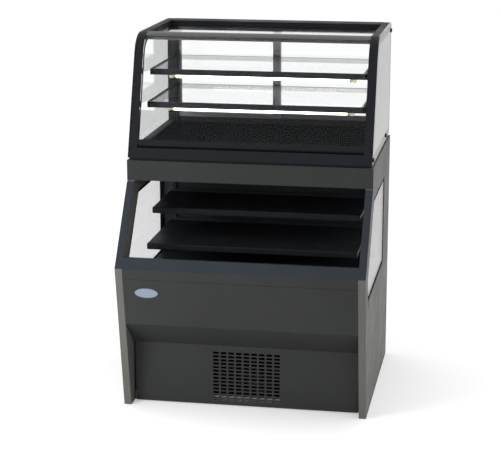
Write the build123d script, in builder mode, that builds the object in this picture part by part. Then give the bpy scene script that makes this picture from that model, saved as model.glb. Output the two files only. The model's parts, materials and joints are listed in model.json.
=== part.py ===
from build123d import *
from math import atan2, cos, degrees, hypot, radians, sin, tan
import os

os.makedirs("parts", exist_ok=True)

# Overall size in millimetres. X runs along the front, Y runs to the back, Z is up.
# The origin is on the floor, under the middle of the case.
case_width = 917.6
case_depth = 889.0
case_height = 1375.0

# Lower cabinet: the nose is the foremost line. The front leans in below it and slopes back above it.
nose_height = 560.0
nose_overhang = 104.0
band_bottom = 846.0
band_height = 76.0
band_setback = 208.0
end_thickness = 27.0
fit_gap = 0.3
panel_sheet = 2.0
thin_sheet = 1.5

# Upper case
frame_width = 27.0
frame_section = 30.0
side_glass = 6.0
stud_height = 4.0
front_lean = radians(19.0)
corner_radius = 100.0
front_glass_thickness = 6.0
front_glass_inset = 3.0
header_start_angle = 116.5
plinth_height = 10.0
plinth_inset = 8.0
front_base_height = 36.0
front_base_depth = 26.0
door_stile = 29.0
door_wall = 3.0
door_clearance = 0.5
rail_depth = 40.0
rail_height = 30.0
header_depth = 80.0
track_height = 48.0
shelf_end_gap = 7.0

# Places worked out from the sizes above
half_width = case_width / 2
front_y = -case_depth / 2
rear_y = case_depth / 2
foot_y = front_y + nose_overhang
band_y = front_y + band_setback
band_top = band_bottom + band_height
inner_half = half_width - end_thickness
span_half = inner_half - fit_gap
slope_angle = atan2(band_setback, band_bottom - nose_height)
case_floor = band_top + plinth_height
glass_out = half_width - stud_height
frame_out = glass_out - side_glass
frame_in = frame_out - frame_width
upper_half = frame_in - fit_gap


def save(name, part):
    part.label = name
    export_step(part, f"parts/{name}.step")


def block(x, y, z, mode=Mode.ADD):
    """A box between two limits on each axis."""
    centre = ((x[0] + x[1]) / 2, (y[0] + y[1]) / 2, (z[0] + z[1]) / 2)
    with Locations(centre):
        Box(x[1] - x[0], y[1] - y[0], z[1] - z[0], mode=mode)


def prism(points, x, mode=Mode.ADD):
    """A side profile of (y, z) points carried along X."""
    with BuildSketch(Plane.YZ.offset(x[0])) as profile:
        with BuildLine():
            Polyline(*points, close=True)
        make_face()
    extrude(profile.sketch, amount=x[1] - x[0], mode=mode)


def bar(centre, radius, length, axis, mode=Mode.ADD):
    """A round bar that starts at centre and runs along axis."""
    with BuildSketch(Plane(origin=centre, z_dir=axis)) as section:
        Circle(radius)
    extrude(section.sketch, amount=length, mode=mode)


def ribbon(points, thickness):
    """The outline of a folded sheet whose left side follows the open path."""
    offset_points = []
    for index, (y, z) in enumerate(points):
        before = points[max(index - 1, 0)]
        after = points[min(index + 1, len(points) - 1)]
        normals = []
        for start, end in ((before, (y, z)), ((y, z), after)):
            run = hypot(end[0] - start[0], end[1] - start[1])
            if run > 0:
                normals.append(((end[1] - start[1]) / run, -(end[0] - start[0]) / run))
        total_y = sum(normal[0] for normal in normals)
        total_z = sum(normal[1] for normal in normals)
        reach = thickness * len(normals) / (total_y**2 + total_z**2)
        offset_points.append((y + total_y * reach, z + total_z * reach))
    return list(points) + offset_points[::-1]


def front_line(z):
    """Y of the leaning lower front at height z."""
    return foot_y - nose_overhang * z / nose_height


def slope_line(z):
    """Y of the open front's slope at height z."""
    return front_y + (z - nose_height) * tan(slope_angle)


# Lower cabinet, shell

trim_thickness = 4.0
trim_back = trim_thickness / cos(slope_angle)
band_back_y = band_y + panel_sheet
trim_top = band_bottom - 5.0
window_top = band_bottom - 48.0
window_bottom = 450.0
window_top_margin = 95.0
window_bottom_margin = 82.0
window_rear_margin = 220.0
window_nose_margin = 76.0
window_nose_drop = 23.0
window_corner = 16.0
gasket_width = 12.0
gasket_recess = 1.0
pane_recess = 2.0
groove_width = 12.0
groove_length = 30.0
groove_depth = 3.0


def window_points():
    """Corners of the window, which follows the slope, the nose and the leaning front."""
    return [
        (slope_line(window_top) + window_top_margin, window_top),
        (rear_y - window_rear_margin, window_top),
        (rear_y - window_rear_margin, window_bottom),
        (front_line(window_bottom) + window_bottom_margin, window_bottom),
        (front_y + window_nose_margin, nose_height - window_nose_drop),
    ]


def window_shape(inset, x, mode=Mode.ADD):
    """The window's rounded outline, drawn in by inset."""
    with BuildSketch(Plane.YZ.offset(x[0])) as outline:
        with BuildLine():
            Polyline(*window_points(), close=True)
        make_face()
        fillet(outline.vertices(), window_corner)
        if inset > 0:
            offset(amount=-inset, mode=Mode.REPLACE)
    extrude(outline.sketch, amount=x[1] - x[0], mode=mode)


def end_limits(side, outer, inner):
    """X limits on one side, from two distances inside its outer face."""
    return sorted((side * (half_width - outer), side * (half_width - inner)))


def seal_tail(side, outer, mode=Mode.ADD):
    """The short end of the seal below the window's front corner, or the groove that it lies in."""
    corner_y, corner_z = window_points()[3]
    tail_y = (corner_y + window_corner, corner_y + window_corner + groove_width)
    tail_z = (corner_z - groove_length, corner_z + window_corner / 2)
    block(end_limits(side, outer, groove_depth), tail_y, tail_z, mode=mode)


def end_panel(side):
    edge_top = nose_height + (band_back_y - front_y - trim_back) / tan(slope_angle)
    outline = [
        (foot_y, 0),
        (front_y, nose_height),
        (front_y + trim_back, nose_height),
        (band_back_y, edge_top),
        (band_back_y, band_top),
        (rear_y, band_top),
        (rear_y, 0),
    ]
    x = end_limits(side, 0, end_thickness)
    with BuildPart() as panel:
        prism(outline, x)
        window_shape(0, x, mode=Mode.SUBTRACT)
        seal_tail(side, 0, mode=Mode.SUBTRACT)
    return panel.part


def window_gaskets():
    with BuildPart() as gaskets:
        for side in (-1, 1):
            window_shape(0, end_limits(side, gasket_recess, end_thickness - gasket_recess))
            window_shape(gasket_width, end_limits(side, 0, end_thickness), mode=Mode.SUBTRACT)
            seal_tail(side, gasket_recess)
    return gaskets.part


def window_panes():
    with BuildPart() as panes:
        for side in (-1, 1):
            window_shape(gasket_width, end_limits(side, pane_recess, end_thickness - pane_recess))
    return panes.part


sill_rise = 36.0
sill_depth = 26.0
sill_top_width = 5.0
sill_fall = 4.0


def opening_frame():
    """One painted frame round the open front: two sloping sides and the sill."""
    side_profile = [
        (front_y, nose_height),
        (front_y + trim_back, nose_height),
        (slope_line(trim_top) + trim_back, trim_top),
        (slope_line(trim_top), trim_top),
    ]
    sill_top = nose_height + sill_rise
    sill_profile = [
        (front_y, nose_height),
        (front_y + sill_depth, nose_height),
        (slope_line(sill_top) + sill_depth, sill_top - sill_fall),
        (slope_line(sill_top) + sill_top_width, sill_top),
        (slope_line(sill_top), sill_top),
    ]
    with BuildPart() as frame:
        prism(side_profile, (-half_width, -inner_half))
        prism(side_profile, (inner_half, half_width))
        prism(sill_profile, (-inner_half, inner_half))
    return frame.part


strip_height = 40.0
strip_flange = 22.0
front_bottom = 340.0
kick_top = 238.0
kick_y = foot_y + 48.0
kick_lift = 4.0
kick_side_gap = 8.0
kick_return = 18.0


def nose_rail():
    path = [
        (front_line(nose_height - strip_height), nose_height - strip_height),
        (front_y, nose_height - fit_gap),
        (front_y + strip_flange, nose_height - fit_gap),
    ]
    with BuildPart() as rail:
        prism(ribbon(path, panel_sheet), (-span_half, span_half))
    return rail.part


def front_panel():
    """The leaning front sheet, folded back under itself down to the kick panel."""
    top = nose_height - strip_height - 1.0
    path = [(kick_y, kick_top), (front_line(front_bottom), front_bottom), (front_line(top), top)]
    with BuildPart() as panel:
        prism(ribbon(path, panel_sheet), (-span_half, span_half))
    return panel.part


badge_length = 88.0
badge_height = 40.0
badge_thickness = 2.0
badge_margin = 42.5
badge_edge = 0.8
badge_z = 468.0


def badge_plate():
    """A plain oval plate without lettering, flat on the leaning front."""
    lean = atan2(nose_overhang, nose_height)
    place = (-inner_half + badge_margin + badge_length / 2, front_line(badge_z), badge_z)
    face = Plane(origin=place, x_dir=(1, 0, 0), z_dir=(0, -cos(lean), -sin(lean)))
    with BuildPart() as plate:
        with BuildSketch(face):
            Ellipse(badge_length / 2, badge_height / 2)
        extrude(amount=badge_thickness)
        rim = plate.faces().sort_by_distance(face.offset(badge_thickness).origin)[0]
        chamfer(rim.edges(), badge_edge)
    return plate.part


slot_pitch_x = 29.0
slot_pitch_z = 14.2
slot_width = 22.4
slot_tall = 8.8
slot_corner = 3.0
slot_columns = 9
slot_rows = 14
grille_x = 2.0
grille_z = 116.0
screw_hole = 2.6
screw_gap = 0.1
screw_head = (4.5, 1.8)
screw_socket = (1.5, 1.0)
screw_length = 12.0
screw_heights = (70.0, 34.0)
kick_half = inner_half - kick_side_gap
screw_x = kick_half - 9.0


def screw_places():
    return [(side * screw_x, z) for side in (-1, 1) for z in screw_heights]


def kick_panel():
    with BuildPart() as panel:
        sheet_y = (kick_y, kick_y + thin_sheet)
        block((-kick_half, kick_half), sheet_y, (kick_lift, kick_top - fit_gap))
        for side in (-1, 1):
            flange_x = sorted((side * kick_half, side * (kick_half - thin_sheet)))
            block(flange_x, (kick_y, kick_y + kick_return), (kick_lift, kick_top - kick_return))
        with BuildSketch(Plane.XZ.offset(-kick_y)):
            with Locations((grille_x, grille_z)):
                with GridLocations(slot_pitch_x, slot_pitch_z, slot_columns, slot_rows):
                    RectangleRounded(slot_width, slot_tall, slot_corner)
            with Locations(*screw_places()):
                Circle(screw_hole)
        extrude(amount=2 * thin_sheet, both=True, mode=Mode.SUBTRACT)
    return panel.part


frame_rail = 30.0
post_width = 16.0
rail_setback = 8.0
base_front = kick_y + kick_return + 1.0


def panel_screws():
    """Button-head screws that hold the kick panel to the posts of the base frame."""
    with BuildPart() as screws:
        for x, z in screw_places():
            radius, height = screw_head
            bar((x, kick_y, z), radius, height, (0, -1, 0))
            bar((x, kick_y, z), screw_hole - screw_gap, thin_sheet + screw_length, (0, 1, 0))
            radius, depth = screw_socket
            bar((x, kick_y - height, z), radius, depth, (0, 1, 0), mode=Mode.SUBTRACT)
    return screws.part


def base_frame():
    """Welded tube frame with the tray that the condensing unit stands on."""
    front = base_front
    back = rear_y - rail_setback
    post_x = (screw_x - post_width / 2 - 1.0, screw_x + post_width / 2 - 1.0)
    with BuildPart() as base:
        for y in (front, back - frame_rail, -frame_rail / 2):
            block((-inner_half, inner_half), (y, y + frame_rail), (0, frame_rail))
        for side in (-1, 1):
            x = sorted((side * inner_half, side * (inner_half - frame_rail)))
            block(x, (front, back), (0, frame_rail))
        block((-inner_half, inner_half), (front, back), (frame_rail, frame_rail + panel_sheet))
        for side in (-1, 1):
            x = sorted((side * post_x[0], side * post_x[1]))
            block(x, (kick_y + thin_sheet, front + 1.0), (kick_lift, kick_top - frame_rail))
        for x, z in screw_places():
            bar((x, kick_y, z), screw_hole, thin_sheet + screw_length, (0, 1, 0), mode=Mode.SUBTRACT)
    return base.part


tray_top = frame_rail + panel_sheet

# Lower cabinet, cold well

well_bottom = 350.0
well_floor = 400.0
well_back = 50.0
well_front = 40.0
well_stand_off = 6.0
well_front_top = nose_height - 8.0
canopy_bottom = band_top - 32.0
duct_y = rear_y - 212.5
duct_top = band_bottom + 4.0
duct_front = band_y + 136.0
deck_z = 462.0
line_hole = 6.0
line_x = inner_half - 50.0
suction_y = duct_y + 84.0
liquid_y = duct_y + 106.0
drain_place = (inner_half - 231.8, duct_y + 68.0)
drain_radius = 10.0
drain_wall = 2.0
drain_length = 240.0


def cold_well():
    """Insulated floor, front wall and back wall in one, open at the top and front."""
    outer_front = well_stand_off
    inner_front = well_stand_off + well_front
    outline = [
        (front_line(well_bottom) + outer_front, well_bottom),
        (rear_y, well_bottom),
        (rear_y, canopy_bottom),
        (rear_y - well_back, canopy_bottom),
        (rear_y - well_back, well_floor),
        (front_line(well_floor) + inner_front, well_floor),
        (front_line(well_front_top) + inner_front, well_front_top),
        (front_line(well_front_top) + outer_front, well_front_top),
    ]
    with BuildPart() as well:
        prism(outline, (-span_half, span_half))
        floor_thickness = well_floor - well_bottom
        drain_x, drain_y = drain_place
        bar((drain_x, drain_y, well_bottom), drain_radius, drain_length, (0, 0, -1))
        bore = drain_radius - drain_wall
        bore_length = floor_thickness + drain_length + 1.0
        bar((drain_x, drain_y, well_floor), bore, bore_length, (0, 0, -1), mode=Mode.SUBTRACT)
        for x, y in ((-line_x, suction_y), (line_x, liquid_y)):
            bar((x, y, well_floor), line_hole, floor_thickness + 1.0, (0, 0, -1), mode=Mode.SUBTRACT)
    return well.part


perforation = 4.0
hole_pitch = (32.0, 18.0)
hole_rows = 2
hole_side_margin = 40.0
hole_heights = (560.0, 670.0, 780.0)
fan_opening = (620.0, 40.0)
fan_opening_rise = 28.0


def back_duct():
    """Perforated back wall whose top folds forward as the air plenum."""
    path = [(duct_front, duct_top), (duct_y, duct_top), (duct_y, well_floor)]
    columns = int(2 * (span_half - hole_side_margin) / hole_pitch[0])
    with BuildPart() as duct:
        prism(ribbon(path, -thin_sheet), (-span_half, span_half))
        with BuildSketch(Plane.XZ.offset(-duct_y)):
            with Locations(*[(0, height) for height in hole_heights]):
                with GridLocations(*hole_pitch, columns, hole_rows):
                    Circle(perforation)
            with Locations((0, well_floor + fan_opening_rise)):
                Rectangle(*fan_opening)
        extrude(amount=3 * thin_sheet, both=True, mode=Mode.SUBTRACT)
    return duct.part


deck_front = front_line(well_floor) + well_stand_off + well_front + 3.0
deck_lip = 12.0
deck_side_gap = 2.0


def lower_deck():
    deck_x = span_half - deck_side_gap
    lip_y = (deck_front, deck_front + thin_sheet)
    with BuildPart() as deck:
        block((-deck_x, deck_x), (deck_front, duct_y - fit_gap), (deck_z - thin_sheet, deck_z))
        block((-deck_x, deck_x), lip_y, (deck_z, deck_z + deck_lip))
        for side in (-1, 1):
            x = sorted((side * deck_x, side * (deck_x - thin_sheet)))
            block(x, (deck_front, duct_y - fit_gap), (well_floor, deck_z))
    return deck.part


coil_half = inner_half - 81.8
coil_y = (duct_y + 30.0, duct_y + 130.0)
coil_z = (500.0, 720.0)
coil_tube = 5.0
coil_plate = 2.0
coil_plate_rise = 10.0
coil_rows = 5
coil_row_pitch = 44.0
coil_first_row = 22.0
coil_bend_start = 25.0
coil_bend_width = 50.0
coil_bend_out = 10.0
coil_bend_half = 3.0


def cooling_coil():
    """Finned block on two end plates that reach back to the well's wall."""
    with BuildPart() as coil:
        block((-coil_half, coil_half), coil_y, coil_z)
        for side in (-1, 1):
            plate_x = sorted((side * coil_half, side * (coil_half + coil_plate)))
            plate_z = (coil_z[0] - coil_plate_rise, coil_z[1] + coil_plate_rise)
            block(plate_x, (coil_y[0], rear_y - well_back), plate_z)
            bend_y = (coil_y[0] + coil_bend_start, coil_y[0] + coil_bend_start + coil_bend_width)
            bend_end = coil_half + coil_plate + coil_bend_out
            bend_x = sorted((side * (bend_end - coil_bend_out + 2.0), side * bend_end))
            for row in range(coil_rows):
                z = coil_z[0] + coil_first_row + row * coil_row_pitch
                for y in bend_y:
                    bar((side * coil_half, y, z), coil_tube, coil_plate + coil_bend_out, (side, 0, 0))
                block(bend_x, bend_y, (z - coil_bend_half, z + coil_bend_half))
    return coil.part


comb_y = (band_y + 46.0, duct_front)
comb_depth = 12.0
comb_cell = (12.0, 17.0)
comb_pitch = (14.2, 20.0)
comb_rows = 4
comb_end_wall = 6.0


def air_comb():
    """Straightener in the air outlet: a frame of cross slats."""
    columns = int(2 * (span_half - comb_end_wall) / comb_pitch[0])
    with BuildPart() as comb:
        block((-span_half, span_half), comb_y, (duct_top, duct_top + comb_depth))
        with BuildSketch(Plane.XY.offset(duct_top)):
            with Locations((0, (comb_y[0] + comb_y[1]) / 2)):
                with GridLocations(*comb_pitch, columns, comb_rows):
                    Rectangle(*comb_cell)
        extrude(amount=comb_depth, mode=Mode.SUBTRACT)
    return comb.part


fascia_return = 28.0
fascia_round = 1.2
canopy_setback = 18.0


def canopy():
    """Insulated lid of the cold well, with the web in front of the air outlet."""
    web_y = (comb_y[0] - panel_sheet, comb_y[0])
    with BuildPart() as lid:
        lid_y = (band_back_y + canopy_setback, rear_y)
        block((-span_half, span_half), lid_y, (canopy_bottom, band_top - panel_sheet))
        block((-span_half, span_half), web_y, (duct_top, canopy_bottom))
    return lid.part


def fascia_band():
    """The full-width band, a channel whose returns lie between the end panels."""
    with BuildPart() as band:
        block((-half_width, half_width), (band_y, band_back_y), (band_bottom, band_top))
        for z in (band_bottom, band_top - panel_sheet):
            back = (band_y, band_back_y + fascia_return)
            block((-span_half, span_half), back, (z, z + panel_sheet))
        outer_edges = band.edges().filter_by(Axis.X).group_by(Axis.Y)[0]
        fillet(outer_edges, fascia_round)
    return band.part


tube_radius = 8.0
tube_drop = 10.0
holder_length = 14.0
holder_width = 18.0
holder_foot = 1.0


def tube_lamp(y, z_top, holder_end, channel_end, channel_width, channel_height):
    """A lamp channel with a glass tube between two holders, each end given by its X."""
    tube_z = z_top - channel_height - tube_drop
    tube_end = holder_end - holder_length
    channel_y = (y - channel_width / 2, y + channel_width / 2)
    holder_y = (y - holder_width / 2, y + holder_width / 2)
    holder_z = (tube_z - tube_radius - holder_foot, z_top - channel_height)
    with BuildPart() as lamp:
        block((-channel_end, channel_end), channel_y, (z_top - channel_height, z_top))
        for side in (-1, 1):
            block(sorted((side * holder_end, side * tube_end)), holder_y, holder_z)
        bar((-tube_end, y, tube_z), tube_radius, 2 * tube_end, (1, 0, 0))
    return lamp.part


# Condensing unit under the cold well

condenser_y = (base_front + 6.0, base_front + 66.0)
condenser_half = 155.0
condenser_plate = 2.0
condenser_rows = 6
condenser_row_pitch = 30.0
condenser_first_row = 20.0
condenser_row_y = condenser_y[0] + 14.0
condenser_tube = 4.0
condenser_tube_out = 12.0
condenser_z = (tray_top, tray_top + 200.0)
fan_centre_z = (condenser_z[0] + condenser_z[1]) / 2
fan_radius = 92.0
fan_y = condenser_y[1] + 22.0
shaft_radius = 4.0
shaft_clearance = 0.05
motor_radius = 38.0


def condenser_coil():
    x = (grille_x - condenser_half, grille_x + condenser_half)
    with BuildPart() as coil:
        block(x, condenser_y, (condenser_z[0] + 2 * condenser_plate, condenser_z[1] - condenser_plate))
        for plate in ((x[0] - condenser_plate, x[0]), (x[1], x[1] + condenser_plate)):
            block(plate, condenser_y, condenser_z)
        tube_length = x[1] - x[0] + 2 * condenser_tube_out
        for row in range(condenser_rows):
            z = condenser_z[0] + condenser_first_row + row * condenser_row_pitch
            bar((x[0] - condenser_tube_out, condenser_row_y, z), condenser_tube, tube_length, (1, 0, 0))
    return coil.part


shroud_ring = 30.0
shroud_wall = 3.0
ring_clearance = 5.0
bracket_plate = 3.0
bracket_setback = 42.0
bracket_half = 20.0
bracket_foot = (30.0, 24.0)
motor_collar = 14.0
motor_depth = 26.0
collar_length = 24.0


def fan_shroud():
    """Hood behind the condenser with the fan's ring, and the bracket that holds the motor."""
    hood_half = condenser_half + condenser_plate
    y0 = condenser_y[1]
    bracket_y = fan_y + bracket_setback
    ring_inner = fan_radius + ring_clearance
    with BuildPart() as shroud:
        block((grille_x - hood_half, grille_x + hood_half), (y0, y0 + thin_sheet), condenser_z)
        bar((grille_x, y0, fan_centre_z), ring_inner + shroud_wall, shroud_ring, (0, 1, 0))
        bar((grille_x, y0, fan_centre_z), ring_inner, shroud_ring, (0, 1, 0), mode=Mode.SUBTRACT)
        foot_x = (grille_x - bracket_foot[0], grille_x + bracket_foot[0])
        foot_z = (tray_top, tray_top + bracket_plate)
        block(foot_x, (y0, bracket_y + bracket_foot[1]), foot_z)
        bar_x = (grille_x - bracket_half, grille_x + bracket_half)
        bar_z = (tray_top, fan_centre_z + bracket_foot[0])
        block(bar_x, (bracket_y, bracket_y + bracket_plate), bar_z)
        hole = (grille_x, bracket_y, fan_centre_z)
        bar(hole, motor_collar, bracket_plate, (0, 1, 0), mode=Mode.SUBTRACT)
    return shroud.part


lower_fan_place = (0.0, duct_y + 80.0)
lower_fan_z = 454.0
lower_fan_radius = 62.0
lower_motor = (32.0, 38.0)
shaft_overrun = 10.0


def fan_motors():
    """The condenser fan's motor on its bracket, and the flat motor in the cold well."""
    motor_y = fan_y + bracket_setback
    shaft_start = fan_y - shaft_overrun - 2.0
    with BuildPart() as motors:
        bar((grille_x, motor_y - motor_depth, fan_centre_z), motor_radius, motor_depth, (0, 1, 0))
        bar((grille_x, motor_y, fan_centre_z), motor_collar - shaft_clearance, collar_length, (0, 1, 0))
        bar((grille_x, shaft_start, fan_centre_z), shaft_radius, motor_y - shaft_start, (0, 1, 0))
        x, y = lower_fan_place
        bar((x, y, well_floor), *lower_motor, (0, 0, 1))
        bar((x, y, well_floor), shaft_radius, lower_fan_z + shaft_overrun - well_floor, (0, 0, 1))
    return motors.part


blade_count = 5
blade_thickness = 1.6
blade_chord = 0.62
blade_root = 4.0


def fan_wheel(plane, radius, hub_radius, depth, pitch):
    """Hub and pitched blades about the plane's normal, with a running fit on the shaft."""
    mean = (radius + hub_radius) / 2
    with BuildPart(plane) as wheel:
        with PolarLocations(mean, blade_count):
            with Locations(Rotation(pitch, 0, 0)):
                Box(radius - hub_radius + blade_root, blade_chord * mean, blade_thickness)
        Cylinder(hub_radius, depth)
        Cylinder(shaft_radius + shaft_clearance, 3 * depth, mode=Mode.SUBTRACT)
    return wheel.part


compressor_place = (-230.0, 170.0)
can_lift = 22.0
can_height = 165.0
can_radius = 78.0
can_belly = (86.0, 70.0)
can_round = 20.0
foot_turns = (30, 150, 270)
foot_reach = 92.0
foot_half = 20.0
foot_plate = 4.0
foot_rise = 8.0
grommet_radius = 11.0
terminal_x = (70.0, 108.0)
terminal_half = 28.0
terminal_z = (40.0, 100.0)


def compressor():
    """Welded can on three feet, with the terminal cover on its side."""
    x, y = compressor_place
    base = tray_top + can_lift
    top = base + can_height
    outline = [
        (x, base),
        (x + can_radius, base),
        (x + can_belly[0], base + can_belly[1]),
        (x + can_radius, top),
        (x, top),
    ]
    with BuildPart() as can:
        with BuildSketch(Plane.XZ.offset(-y)) as half:
            with BuildLine():
                FilletPolyline(*outline, radius=can_round)
                Line((x, top), (x, base))
            make_face()
        revolve(axis=Axis((x, y, 0), (0, 0, 1)))
        plate_z = (base + foot_rise, base + foot_rise + foot_plate)
        for turn in foot_turns:
            direction = (cos(radians(turn)), sin(radians(turn)), 0)
            foot_x = x + foot_reach * direction[0]
            foot_y_place = y + foot_reach * direction[1]
            foot_x_limits = (foot_x - foot_half, foot_x + foot_half)
            foot_y_limits = (foot_y_place - foot_half, foot_y_place + foot_half)
            block(foot_x_limits, foot_y_limits, plate_z)
            bar((foot_x, foot_y_place, tray_top), grommet_radius, plate_z[0] - tray_top, (0, 0, 1))
            with BuildSketch(Plane(origin=(x, y, plate_z[0]), x_dir=direction)):
                with Locations((foot_reach / 2 + 4.0, 0)):
                    Rectangle(foot_reach - 8.0, 1.7 * foot_half)
            extrude(amount=foot_plate)
        block(
            (x + terminal_x[0], x + terminal_x[1]),
            (y - terminal_half, y + terminal_half),
            (base + terminal_z[0], base + terminal_z[1]),
        )
    return can.part


def tube_run(points, radius, bend):
    """A round tube along straight runs joined by bends."""
    with BuildPart() as tube:
        with BuildLine() as route:
            FilletPolyline(*points, radius=bend)
        start = route.line @ 0
        direction = route.line % 0
        with BuildSketch(Plane(origin=start, z_dir=direction)):
            Circle(radius)
        sweep(path=route.line)
    return tube.part


line_bend = 16.0
suction_radius = 5.0
discharge_radius = 4.0
liquid_radius = 3.2
port_offset = 30.0
suction_rise = 70.0
discharge_rise = 40.0
tail_length = 14.0
suction_z = 540.0
liquid_z = 588.0
liquid_low_z = 230.0
liquid_side_step = 60.0


def copper_lines():
    """Suction, discharge and liquid lines."""
    cx, cy = compressor_place
    can_top = tray_top + can_lift + can_height
    left_tail = grille_x - condenser_half - tail_length
    right_tail = grille_x + condenser_half + tail_length
    low_z = condenser_z[0] + condenser_first_row
    high_z = low_z + (condenser_rows - 1) * condenser_row_pitch
    coil_end = coil_half + coil_plate
    suction_x = cx - port_offset
    discharge_x = cx + port_offset
    side_x = right_tail + liquid_side_step
    discharge_z = can_top + discharge_rise
    suction = [
        (suction_x, cy, can_top),
        (suction_x, cy, can_top + suction_rise),
        (-line_x, suction_y, can_top + suction_rise + 20.0),
        (-line_x, suction_y, suction_z),
        (-coil_end, suction_y, suction_z),
    ]
    discharge = [
        (discharge_x, cy, can_top),
        (discharge_x, cy, discharge_z),
        (discharge_x, condenser_row_y, discharge_z),
        (discharge_x, condenser_row_y, high_z),
        (left_tail, condenser_row_y, high_z),
    ]
    liquid = [
        (right_tail, condenser_row_y, low_z),
        (side_x, condenser_row_y, low_z),
        (side_x, cy, low_z + 20.0),
        (line_x, liquid_y, liquid_low_z),
        (line_x, liquid_y, liquid_z),
        (coil_end, liquid_y, liquid_z),
    ]
    with BuildPart() as lines:
        add(tube_run(suction, suction_radius, line_bend))
        add(tube_run(discharge, discharge_radius, line_bend))
        add(tube_run(liquid, liquid_radius, line_bend))
    return lines.part


pan_x = (drain_place[0] - 120.0, drain_place[0] + 130.0)
pan_y = (duct_y - 50.0, rear_y - 60.0)
pan_height = 44.0
pan_corner = 12.0
pan_wall = 2.0


def condensate_pan():
    with BuildPart() as pan:
        block(pan_x, pan_y, (tray_top, tray_top + pan_height))
        fillet(pan.edges().filter_by(Axis.Z), pan_corner)
        top = pan.faces().sort_by(Axis.Z)[-1]
        offset(amount=-pan_wall, openings=top)
    return pan.part


# Rear of the lower cabinet

rear_panel_z = (tray_top + 6.0, well_bottom - 2.0)
pocket_x = (inner_half - 361.8, inner_half - 41.8)
pocket_z = (rear_panel_z[1] - 116.0, rear_panel_z[1] - 14.0)
pocket_depth = 40.0
inlet_x = (-inner_half + 71.8, -inner_half + 131.8)
inlet_z = (rear_panel_z[1] - 70.0, rear_panel_z[1] - 26.0)
vent_slot = (62.0, 7.0)
vent_pitch = (76.0, 18.0)
vent_rows = 7
vent_rise = 92.0
vent_side_margin = 80.0


def rear_panel():
    """Removable cover with rows of air slots and two cut-outs."""
    y = (rear_y - panel_sheet, rear_y)
    columns = int(2 * (span_half - vent_side_margin) / vent_pitch[0])
    with BuildPart() as panel:
        block((-span_half, span_half), y, rear_panel_z)
        with BuildSketch(Plane.XZ.offset(-rear_y)):
            with Locations((0, rear_panel_z[0] + vent_rise)):
                with GridLocations(*vent_pitch, columns, vent_rows):
                    SlotOverall(*vent_slot)
        extrude(amount=3 * panel_sheet, both=True, mode=Mode.SUBTRACT)
        block(pocket_x, y, pocket_z, mode=Mode.SUBTRACT)
        block(inlet_x, y, inlet_z, mode=Mode.SUBTRACT)
    return panel.part


knob_radius = 15.0
knob_height = 12.0
knob_stand_off = 0.5
knob_round = 1.5
knob_mark = 2.0
knob_spindle = 3.0
spindle_length = 14.0
pocket_wall = 2.0
pocket_back_y = rear_y - 18.0
knob_x = pocket_x[0] + 60.0
switch_x = pocket_x[1] - 60.0
dial_x = (knob_x + switch_x) / 2
control_z = (pocket_z[0] + pocket_z[1]) / 2
dial_radius = 26.0
dial_height = 7.0
dial_rim = 3.0
dial_sink = 2.0
needle_hub = (2.4, 1.2)
switch_half = (9.5, 14.0)
switch_depth = 14.0


def control_panel():
    """Shallow pocket in the rear cover that holds the dial, the knob and the switch."""
    with BuildPart() as box:
        block(pocket_x, (rear_y - pocket_depth, rear_y), pocket_z)
        inner_x = (pocket_x[0] + pocket_wall, pocket_x[1] - pocket_wall)
        inner_z = (pocket_z[0] + pocket_wall, pocket_z[1] - pocket_wall)
        block(inner_x, (pocket_back_y, rear_y), inner_z, mode=Mode.SUBTRACT)
        bore = (knob_x, pocket_back_y, control_z)
        bar(bore, knob_spindle + shaft_clearance, spindle_length + 2.0, (0, -1, 0), mode=Mode.SUBTRACT)
        block(
            (switch_x - switch_half[0] - fit_gap, switch_x + switch_half[0] + fit_gap),
            (pocket_back_y - switch_depth, pocket_back_y),
            (control_z - switch_half[1] - fit_gap, control_z + switch_half[1] + fit_gap),
            mode=Mode.SUBTRACT,
        )
    return box.part


def thermometer():
    with BuildPart() as dial:
        rim_y = pocket_back_y + dial_height
        bar((dial_x, pocket_back_y, control_z), dial_radius, dial_height, (0, 1, 0))
        sunk = (dial_x, rim_y, control_z)
        bar(sunk, dial_radius - dial_rim, dial_sink, (0, -1, 0), mode=Mode.SUBTRACT)
        bar((dial_x, rim_y - dial_sink, control_z), *needle_hub, (0, 1, 0))
    return dial.part


def thermostat_knob():
    base_y = pocket_back_y + knob_stand_off
    top_y = base_y + knob_height
    with BuildPart() as knob:
        bar((knob_x, base_y, control_z), knob_radius, knob_height, (0, 1, 0))
        fillet(knob.faces().sort_by(Axis.Y)[-1].edges(), knob_round)
        bar((knob_x, base_y, control_z), knob_spindle, spindle_length, (0, -1, 0))
        mark_x = (knob_x - knob_mark / 2, knob_x + knob_mark / 2)
        mark_z = (control_z, control_z + knob_radius)
        block(mark_x, (top_y - knob_mark / 2, top_y), mark_z, mode=Mode.SUBTRACT)
    return knob.part


rocker_gap = 1.2
rocker_foot = 4.0
rocker_tip = 3.0
rocker_crown = 1.0


def light_switch():
    """Rocker that tilts about a line through its middle, parallel to X."""
    reach = switch_half[1] - rocker_gap
    half = switch_half[0] - fit_gap
    foot_y_place = pocket_back_y - rocker_foot
    tip_y = pocket_back_y + rocker_tip
    profile = [
        (foot_y_place, control_z - reach + rocker_foot),
        (tip_y, control_z - reach),
        (tip_y + rocker_crown, control_z),
        (tip_y, control_z + reach),
        (foot_y_place, control_z + reach - rocker_foot),
    ]
    with BuildPart() as rocker:
        prism(profile, (switch_x - half, switch_x + half))
    return rocker.part


inlet_depth = 34.0
inlet_well = 24.0
inlet_wall = 8.0
pin_half = (1.0, 3.0)
pin_setback = 6.0
pin_places = ((-12.0, -3.0), (0.0, 5.0), (12.0, -3.0))


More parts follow.
